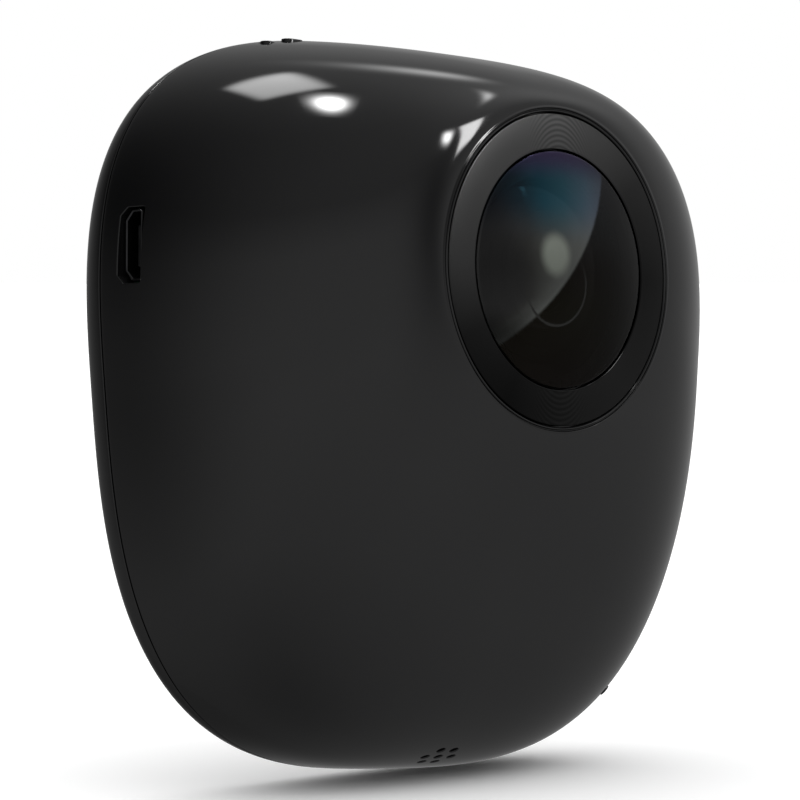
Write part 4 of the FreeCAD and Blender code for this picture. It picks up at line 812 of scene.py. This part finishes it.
nose = [(RIM_RADIUS, NOSE_DEPTH), (17.42, 33.86), (17.34, 33.86), (17.26, 33.78), (17.21, 33.66), (17.16, 33.66),
        (17.11, 33.78), (17.03, 33.85), (16.96, 33.85), (16.88, 33.76), (16.82, 33.60)]
nose += [(SEAT_RADIUS, 33.40), (SEAT_RADIUS, SEAT_DEPTH), (BARREL_HOLE, SEAT_DEPTH), (BARREL_HOLE, NOSE_DEPTH - NOSE_SHELL),
         (RIM_RADIUS - WALL, NOSE_DEPTH - NOSE_SHELL)]
housing_parts = outer_parts + inner_parts + tubes + [grid_part(seam_edge), grid_part(lens_rings(nose))]
housing = dress(piece_from("front_shell", housing_parts), "front_housing")

# %% [markdown]
# # The rear cover and the adhesive pad
# The cover closes the back with the same egg outline, rolls over a rounded edge and lies flat where
# it carries the pad. The pad is a square of black foam with round corners, sunk into a recess. Rings
# of points run from the middle of the inside, round the seam and back to the middle of the outside.

# %% Rear cover
SEAM_REAR = 5.0
PAD_HALF, PAD_CORNER = 27.0, 12.0
RECESS_CLEAR, PAD_SUNK = 0.1, 0.5


def soft_square(angle, half, corner):
    """Where a ray from the middle meets a square with round corners: on a side, or on a corner's arc."""
    cosine, sine = np.abs(np.cos(angle)), np.abs(np.sin(angle))
    straight = half / np.maximum(cosine, sine)
    middle = half - corner
    on_side = straight * np.minimum(cosine, sine) <= middle
    spare = np.maximum(corner ** 2 - middle ** 2 * (cosine - sine) ** 2, 0)
    radius = np.where(on_side, straight, middle * (cosine + sine) + np.sqrt(spare))
    return radius * np.cos(angle), radius * np.sin(angle)


leans = np.linspace(0, np.pi / 2, 26)
first_lean = np.arcsin(1 - (SEAM_REAR - SEAM_ROUND) / WIDEST_DEPTH)
outer_leans = first_lean + (np.pi / 2 - first_lean) * np.linspace(0, 1, 30)
outside = back_skin(turns[None, :], outer_leans[:, None])
last_ring = outside[-1]
spokes = np.arctan2(last_ring[:, 2], last_ring[:, 0])


def recess_ring(wider, depth):
    across, up = soft_square(spokes, PAD_HALF + RECESS_CLEAR + wider, PAD_CORNER + RECESS_CLEAR + wider)
    return at_depth(across, depth, up)


recess_edge = [(0.3 * (1 - np.sin(lean)), 0.3 * (1 - np.cos(lean))) for lean in rounding]
face_edge = recess_ring(*recess_edge[0])
steps_in = np.linspace(0, 1, 9)[1:-1, None, None]
face = last_ring + (face_edge - last_ring) * steps_in
recess = np.stack([recess_ring(wider, depth) for wider, depth in recess_edge] + [recess_ring(0.0, PAD_SUNK)])
cover_across, cover_up = egg(angles[None, :], (SEAM_ROUND * (1 - np.cos(rounding[::-1])))[:, None])
cover_edge = at_depth(cover_across, (SEAM_REAR - SEAM_ROUND * (1 - np.sin(rounding[::-1])))[:, None], cover_up)
inner_leans = np.linspace(np.pi / 2, 0.12, 14)
inside = back_skin(turns[None, :], inner_leans[:, None], WALL, WALL)
inner_face = inside[:1] * np.array([0.5, 1.0, 0.5])
seam_face = at_depth(*[part[None, :] if part is not None else SEAM_REAR for part in
                       (egg(angles, WALL)[0], None, egg(angles, WALL)[1])])
rows = np.concatenate([inner_face, inside, seam_face, cover_edge[:-1], outside, face, recess])
cover_parts = [grid_part(rows), closed_end(rows[0]), closed_end(rows[-1])]
cover = dress(piece_from("back_shell", cover_parts), "rear_cover")

# %% Gasket and pad
def stacked(name, rings):
    """A closed piece from rings of points laid on each other, with both ends closed."""
    rings = np.stack(rings)
    return piece_from(name, [grid_part(rings), closed_end(rings[0]), closed_end(rings[-1])])


GASKET_INSET, GASKET_WIDTH = 0.5, 0.9
gasket_profile = [(0.0, SEAM_REAR), (0.0, WIDEST_DEPTH), (GASKET_WIDTH, WIDEST_DEPTH), (GASKET_WIDTH, SEAM_REAR),
                  (0.0, SEAM_REAR)]
gasket_rows = []
for wide, depth in gasket_profile:
    across, up = egg(angles, GASKET_INSET + wide)
    gasket_rows.append(at_depth(across, depth, up))
gasket = dress(piece_from("seam_gasket", [grid_part(np.stack(gasket_rows))]), "housing_gasket")


def pad_ring(smaller, depth):
    across, up = soft_square(angles, PAD_HALF - smaller, PAD_CORNER - smaller)
    return at_depth(across, depth, up)


pad_rings = [pad_ring(0.0, PAD_SUNK)]
pad_rings += [pad_ring(0.15 * (1 - np.cos(lean)), -PAD_PROUD + 0.15 * (1 - np.sin(lean))) for lean in rounding]
pad_rings += [pad_ring(share * PAD_HALF * 0.4, -PAD_PROUD) for share in (0.5, 1.0)]
pad = dress(stacked("adhesive_pad", pad_rings), "mounting_pad")

# %% [markdown]
# # The lens group
# Lens parts are turned, so each is a profile of radius and depth spun about the lens axis. The bezel
# is a thin satin ring with rounded edges that rises a little towards the glass. The front lens is a
# shallow dome with a hollow back. Behind it, black steps swallow stray light and a bevelled ring holds
# the next lens. They show faintly through the coated glass, so they are modelled too.

# %% Turning about the lens axis
SPIN = 192


def softened(profile, size, steps=4):
    """The profile with each corner cut by a small curve: a parabola between its two sides."""
    profile = np.array(profile, float)
    after = np.roll(profile, -1, axis=0) - profile
    before = np.roll(profile, 1, axis=0) - profile
    lengths = np.minimum(np.hypot(*after.T), np.hypot(*before.T))
    reach = np.minimum(size, lengths * 0.45)[:, None]
    start = profile + before / np.hypot(*before.T)[:, None] * reach
    end = profile + after / np.hypot(*after.T)[:, None] * reach
    share = np.linspace(0, 1, steps + 1)[:, None, None]
    curve = (1 - share) ** 2 * start + 2 * share * (1 - share) * profile + share ** 2 * end
    return curve.transpose(1, 0, 2).reshape(-1, 2)


def spun(name, profile, closed=True):
    """Each point of the profile goes round the axis at its radius; a closed profile joins its ends."""
    profile = np.array(profile, float)
    if closed:
        profile = np.vstack([profile, profile[:1]])
    turn = np.linspace(0, 2 * np.pi, SPIN, endpoint=False)
    radius, depth = profile.T[:, :, None]
    points = at_depth(radius * np.cos(turn), depth, LENS_HEIGHT + radius * np.sin(turn))
    return piece_from(name, [grid_part(points)])


def dome(curve, radius, face, steps, way=1):
    """Radius and depth along a ball's cap that stands on a face, from the axis out to its edge."""
    across = radius * np.linspace(0, 1, steps) ** 0.8
    lift = np.sqrt(curve ** 2 - across ** 2) - np.sqrt(curve ** 2 - radius ** 2)
    return np.stack([across, face + way * lift], axis=1)


# %% Bezel and front lens
BEZEL_OUTER, BEZEL_INNER, BEZEL_THICK, BEZEL_LIFT = 16.7, 12.9, 1.0, 0.15
bezel_profile = [(BEZEL_INNER, SEAT_DEPTH), (BEZEL_OUTER, SEAT_DEPTH), (BEZEL_OUTER, NOSE_DEPTH),
                 (BEZEL_INNER, NOSE_DEPTH + BEZEL_LIFT)]
bezel = dress(spun("bezel_ring", softened(bezel_profile, 0.14)), "lens_bezel", bezel_satin_painted_light())

GLASS_RADIUS, GLASS_EDGE = 12.6, 2.3
GLASS_FACE = NOSE_DEPTH + BEZEL_LIFT
GLASS_BACK = GLASS_FACE - 0.4 - GLASS_EDGE
GLASS_CURVE, HOLLOW_CURVE, HOLLOW_RADIUS = 40.0, 17.0, 10.2
glass_front = dome(GLASS_CURVE, GLASS_RADIUS, GLASS_FACE, 48)
glass_back = dome(HOLLOW_CURVE, HOLLOW_RADIUS, GLASS_BACK, 30)[::-1]
rim = [(GLASS_RADIUS + 0.06, GLASS_FACE - 0.06), (GLASS_RADIUS + 0.1, GLASS_FACE - 0.2), (GLASS_RADIUS + 0.1, GLASS_BACK)]
glass = dress(spun("front_glass", np.vstack([glass_front, rim, glass_back]), closed=False), "front_lens",
              glass_with_painted_reflection())

# %% Barrel, retaining ring and second lens
CUP_RADIUS, CUP_WALL, FLANGE_RADIUS = 12.8, 0.6, 15.2
FLANGE_FRONT, FLANGE_BACK = 30.8, 29.8
CUP_FLOOR, NECK_RADIUS, NECK_END = 27.5, 7.0, 16.5
BAFFLE_OUTER, BAFFLE_LOW, STEP_RISE, STEPS = 11.6, GLASS_BACK - 0.65, 0.5, 3
RING_OUTER, RING_INNER, RING_THICK = 6.4, 4.3, 1.0
RING_FRONT = BAFFLE_LOW + STEPS * STEP_RISE
CORE_BORE, CORE_END, LIGHT_RADIUS = 4.65, 18.2, 3.4
barrel_profile = [
    (LIGHT_RADIUS, NECK_END), (NECK_RADIUS, NECK_END), (NECK_RADIUS, CUP_FLOOR),
    (CUP_RADIUS + CUP_WALL, CUP_FLOOR), (CUP_RADIUS + CUP_WALL, FLANGE_BACK), (FLANGE_RADIUS, FLANGE_BACK),
    (FLANGE_RADIUS, FLANGE_FRONT), (CUP_RADIUS + CUP_WALL, FLANGE_FRONT), (CUP_RADIUS + CUP_WALL, SEAT_DEPTH),
    (CUP_RADIUS, SEAT_DEPTH), (CUP_RADIUS, GLASS_BACK), (BAFFLE_OUTER, GLASS_BACK)]
tread = (BAFFLE_OUTER - RING_OUTER - 0.05) / STEPS
for step in range(STEPS):
    level = BAFFLE_LOW + step * STEP_RISE
    barrel_profile += [(BAFFLE_OUTER - step * tread, level), (BAFFLE_OUTER - (step + 1) * tread, level)]
barrel_profile += [(RING_OUTER + 0.05, RING_FRONT - RING_THICK), (CORE_BORE, RING_FRONT - RING_THICK),
                   (CORE_BORE, CORE_END), (LIGHT_RADIUS, CORE_END)]
barrel = dress(spun("barrel_body", softened(barrel_profile, 0.08)), "lens_barrel")
ring_profile = [(RING_INNER, RING_FRONT - RING_THICK), (RING_OUTER, RING_FRONT - RING_THICK),
                (RING_OUTER, RING_FRONT), (RING_INNER + 0.5, RING_FRONT), (RING_INNER, RING_FRONT - 0.5)]
retaining = dress(spun("retaining_ring", softened(ring_profile, 0.08)), "second_lens_ring")
SECOND_RADIUS, SECOND_CLEAR, SECOND_EDGE, SECOND_CURVE = 4.6, 3.9, 1.6, 9.0
SECOND_FRONT = RING_FRONT - RING_THICK
second_front = dome(SECOND_CURVE, SECOND_CLEAR, SECOND_FRONT, 24)
second_rim = [(SECOND_RADIUS, SECOND_FRONT), (SECOND_RADIUS, SECOND_FRONT - SECOND_EDGE),
              (0.0, SECOND_FRONT - SECOND_EDGE)]
second = dress(spun("second_glass", np.vstack([second_front, second_rim]), closed=False), "second_lens")

# %% [markdown]
# # Buttons, port and card
# Each is an outline carried straight along its axis: the outline swells or shrinks from ring to ring,
# which rounds the edges. The button caps are slightly domed. The port's steel shell is a folded tube
# with a rounded mouth, and a tongue with five contacts stands inside it.

# %% Carried outlines
def carried(name, window, core, rings, middle=(0.0, 0.0)):
    """The outline of the core at each ring's radius, at its height along the window's outward axis."""
    loops = []
    for radius, height in rings:
        places = outline(np.atleast_2d(core) + np.array(middle), radius)
        loops.append(window.origin + places[:, :1] * window.side + places[:, 1:] * window.up
                     + height * window.out)
    return loops


def cap_rings(radius, foot, head, edge=0.12, crown=0.05):
    """From the foot up a straight side, round the edge and over a slightly crowned top."""
    rings = [(radius, foot)]
    rings += [(radius - edge * (1 - np.cos(lean)), head - crown - edge * (1 - np.sin(lean))) for lean in rounding]
    rings += [((radius - edge) * share, head - crown * share ** 2) for share in (0.8, 0.6, 0.4, 0.2)]
    return rings


def button(name, window, core, radius, node, middle=(0.0, 0.0)):
    """A button cap that ends at its CAD node's top."""
    low, high = (np.array(corner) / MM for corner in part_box(node))
    if node == "reset_button":
        head, foot = 0.2, -2.3
    else:
        head = (high - window.origin)[2]
        foot = head - 3.2
    loops = carried(name, window, core, cap_rings(radius, foot, head), middle)
    return dress(stacked(name, loops), node)


button("power_cap", top_buttons, power_core, BUTTON_RADIUS, "power_button")
button("pairing_cap", top_buttons, [(0.0, 0.0)], BUTTON_RADIUS, "pairing_button", (-half_gap, 0.0))
button("reset_cap", reset, [(0.0, 0.0)], 0.65, "reset_button")

# %% Port and card
shell_low, shell_high = (np.array(corner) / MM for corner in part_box("port_shell"))
shell_mouth = port_at[0] - shell_low[0]
SHELL_WALL, SHELL_CORNER = 0.25, 0.2
shell_cut = PORT_CUT
side, top = 2.6 / 2 - SHELL_CORNER - SHELL_WALL, 7.5 / 2 - SHELL_CORNER - SHELL_WALL
shell_core = [(side - shell_cut, -top), (side, -top + shell_cut), (side, top - shell_cut), (side - shell_cut, top),
              (-side, top), (-side, -top)]
outer_side = SHELL_CORNER + SHELL_WALL
shell_back = shell_mouth - (shell_high[0] - shell_low[0])
shell_rings = [(outer_side, shell_back), (outer_side, shell_mouth - 0.1), (outer_side - 0.04, shell_mouth - 0.03),
               (outer_side - 0.12, shell_mouth), (SHELL_CORNER + 0.06, shell_mouth - 0.03),
               (SHELL_CORNER, shell_mouth - 0.1), (SHELL_CORNER, shell_back + SHELL_WALL)]
port_shell = dress(stacked("port_can", carried("port_can", port, shell_core, shell_rings)), "port_shell",
                   metal("dark_steel", (0.045, 0.045, 0.047), (0.075, 0.075, 0.078), 0.36, (1, 1, 0.15)))


def rounded_bar(name, node, corner):
    """A CAD block's box as a bar along X with rounded edges all round."""
    low, high = (np.array(corner_at) / MM for corner_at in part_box(node))
    half = (high - low) / 2
    middle = (high + low) / 2
    core = [(-half[1] + corner, -half[2] + corner), (half[1] - corner, -half[2] + corner),
            (half[1] - corner, half[2] - corner), (-half[1] + corner, half[2] - corner)]
    bar = Window(middle, np.array([0.0, 1.0, 0.0]), np.array([0.0, 0.0, 1.0]), np.array([1.0, 0.0, 0.0]), 0, 0, [])
    rings = [(corner * np.sin(lean) + 1e-3, -half[0] + corner * (1 - np.cos(lean))) for lean in rounding]
    rings += [(radius, -height) for radius, height in rings[::-1]]
    return dress(stacked(name, carried(name, bar, core, rings)), node)


rounded_bar("port_tab", "port_tongue", 0.15)
rounded_bar("card_body", "memory_card", 0.18)

# %% [markdown]
# # Floor, backdrop and lamps
# The photograph was taken in front of white, with dim surroundings and a few bright soft lamps
# overhead. Gloss black shows little but those reflections, so each lamp stands where the mirror
# direction of its highlight points. A lamp here is a glowing panel with a given brightness. The world
# is white to the camera and a soft grey studio to everything else.

# %% Studio
FLOOR_HALF = 3000.0
FLOOR_TILT = np.radians(6.0)
STANDS_AT = np.array([0.0, -6.0, -40.8])
backward = -toward * np.array([1.0, 1.0, 0.0]) / np.hypot(toward[0], toward[1])
slope = np.cos(FLOOR_TILT) * backward + np.sin(FLOOR_TILT) * np.array([0.0, 0.0, 1.0])
floor_points = np.array([STANDS_AT + FLOOR_HALF * (x * rightward + y * slope)
                         for x, y in ((-1, -1), (1, -1), (1, 1), (-1, 1))])
floor = piece_from("floor", [(floor_points, np.array([[0, 1, 2, 3]]))])
FLOOR_TONE, FLOOR_LIFT = 0.85, 0.25
FLOOR_SUN, SUN_SPREAD = 3.2, np.radians(150.0)
SUN_FORWARD, SUN_LEFT = 0.55, 0.45
floor_finish = Finish("floor_white", Roughness=1.0, Specular_IOR_Level=0.0)
sees = floor_finish.node("ShaderNodeLightPath", {}, {}, "Is Camera Ray")
from_below = floor_finish.node("ShaderNodeNewGeometry", {}, {}, "Backfacing")
floor_finish.set(Base_Color=sees * FLOOR_LIFT + FLOOR_TONE, Alpha=1.0 - from_below)
floor.data.materials.append(floor_finish.material)
floor.visible_glossy = False
floor.visible_diffuse = False

above_floor = bpy.data.objects.new("floor_sky", bpy.data.lights.new("floor_sky", "SUN"))
above_floor.data.energy = FLOOR_SUN
above_floor.data.angle = SUN_SPREAD
sun_from = Vector(np.array([0.0, 0.0, 1.0]) - SUN_FORWARD * backward - SUN_LEFT * rightward)
above_floor.rotation_euler = sun_from.to_track_quat("Z", "Y").to_euler()
only_floor = bpy.data.collections.new("only_floor")
only_floor.objects.link(floor)
above_floor.light_linking.receiver_collection = only_floor
bpy.context.scene.collection.objects.link(above_floor)

# %% Lamps
LAMP_REACH = 2000.0
LIT_POINT = np.array([-5.0, -12.0, 36.0])
LAMP_STEPS = 9
FADE = 4.5


def spared(lamp_name, *spared_pieces):
    """A light group that leaves out the given pieces."""
    group = bpy.data.collections.new(lamp_name + "_spares")
    for piece in spared_pieces:
        group.objects.link(piece)
    for member in group.collection_objects:
        member.light_linking.link_state = "EXCLUDE"
    return group


def lamp(name, corners, brightness, power=2.0, spares=()):
    """A glowing panel between four directions. Over its own map u and v run from -1 to 1, and the
    glow is exp(-k (|u|^p + |v|^p)), a round soft spot for p = 2 and nearly a square for p = 8."""
    share = np.linspace(0, 1, LAMP_STEPS)
    u, v = (part[..., None] for part in np.meshgrid(share, share))
    first, second, third, fourth = np.array(corners, float)
    spread = (1 - u) * (1 - v) * first + u * (1 - v) * second + u * v * third + (1 - u) * v * fourth
    places, faces = grid_part(LIT_POINT + LAMP_REACH * spread, around=False)
    mesh = bpy.data.meshes.new(name)
    mesh.from_pydata((places * MM).tolist(), [], faces.tolist())
    corner_of = np.empty(len(mesh.loops), np.int32)
    mesh.loops.foreach_get("vertex_index", corner_of)
    chart = np.concatenate([2 * u - 1, 2 * v - 1], axis=-1).reshape(-1, 2)[corner_of]
    mesh.uv_layers.new(name="chart").data.foreach_set("uv", chart.ravel())
    panel = bpy.data.objects.new(name, mesh)
    bpy.context.scene.collection.objects.link(panel)
    glow = Finish(name + "_glow", Base_Color=(0.0, 0.0, 0.0), Emission_Strength=brightness,
                  Roughness=1.0, Specular_IOR_Level=0.0)
    chart_u, chart_v, flat_part = glow.parts(glow.node("ShaderNodeUVMap", {"uv_map": "chart"}, {}))
    edge = chart_u.apply("ABSOLUTE") ** power + chart_v.apply("ABSOLUTE") ** power
    glow.set(Emission_Color=(edge * -FADE).apply("EXPONENT"))
    clear = glow.node("ShaderNodeBsdfTransparent", {}, {}, "BSDF")
    added = glow.node("ShaderNodeAddShader", {}, {0: Wire(glow, glow.shader.outputs["BSDF"]), 1: clear}, "Shader")
    glow.fill(glow.tree.nodes["Material Output"].inputs["Surface"], added)
    mesh.materials.append(glow.material)
    panel.visible_camera = False
    panel.light_linking.receiver_collection = spared(name, floor, *spares)
    return panel


def round_corners(middle, side, rise, grow=1.6):
    """Corners round a middle direction from two half axes of an ellipse, grown to hold its soft edge."""
    middle, side, rise = (np.array(part, float) for part in (middle, side, rise))
    return [middle + grow * (x * side + y * rise) for x, y in ((-1, -1), (1, -1), (1, 1), (-1, 1))]


lamp("overhead_soft", [(0.00, 0.43, 0.90), (0.33, 0.46, 0.84), (0.125, 0.16, 0.98), (-0.165, 0.205, 0.965)],
     5.0, 8.0)
lamp("overhead_spot", round_corners((-0.087, -0.013, 0.996), (0.016, -0.0675, 0.0), (0.0915, 0.0955, 0.0085)), 60.0)
lamp("right_strip", [(0.42, 0.78, 1.0), (0.42, 0.0, 1.0), (0.84, 0.0, 1.0), (0.84, 0.78, 1.0)], 2.2)
lamp("right_soft", round_corners((0.447, -0.365, 0.815), (0.030, -0.030, -0.030), (0.02, 0.19, 0.06)), 7.0)
lamp("front_spot", round_corners((0.257, -0.819, 0.513), (0.057, -0.006, -0.04), (-0.0125, 0.037, 0.064), 1.35),
     30.0, 2.6, spares=[glass])
lamp("front_square", [(0.30, -0.78, 0.575), (0.50, -0.745, 0.47), (0.575, -0.795, 0.25), (0.455, -0.85, 0.265)],
     15.0, 10.0, spares=[glass])

# %% Surroundings
DARK_LEFT, DARK_REAR, DARK_FRONT = (-0.694, 0.583, 0.423), (0.310, 0.852, -0.423), (0.33, -0.91, 0.22)
DIM_RIGHT, BRIGHT_RIGHT = (0.95, -0.1, -0.25), (0.61, -0.35, 0.71)
world = bpy.data.worlds.new("studio")
bpy.context.scene.world = world
sky = Shading(world)
way = sky.node("ShaderNodeTexCoord", {}, {}, "Generated")


def lobe(direction, power):
    """A soft spot in the surroundings: the cosine of the angle to a direction, raised to a power."""
    along = sky.node("ShaderNodeVectorMath", {"operation": "DOT_PRODUCT"},
                     {0: way, 1: tuple(unit(direction))}, "Value")
    return along.apply("MAXIMUM", 0.0) ** power


height = sky.parts(way)[2] * 0.5 + 0.5
level = sky.tint(height, [(0.0, (0.25,) * 3), (0.065, (0.32,) * 3), (0.25, (0.47,) * 3), (0.45, (0.53,) * 3),
                          (0.585, (0.48,) * 3), (0.70, (0.29,) * 3), (0.935, (0.30,) * 3), (1.0, (0.35,) * 3)])
glow = level * (1.0 - lobe(DARK_LEFT, 2.5) * 0.95) * (1.0 - lobe(DARK_REAR, 3.0) * 0.85)
glow = glow * (1.0 - lobe(DIM_RIGHT, 4.0) * 0.43) * (1.0 - lobe(DARK_FRONT, 25.0) * 0.75)
glow = glow + lobe(BRIGHT_RIGHT, 9.0) * 0.68
seen = sky.node("ShaderNodeLightPath", {}, {}, "Is Camera Ray")
sky.fill(sky.tree.nodes["Background"].inputs["Color"], glow + seen * (1.0 - glow))

bpy.context.scene.view_settings.view_transform = "Standard"
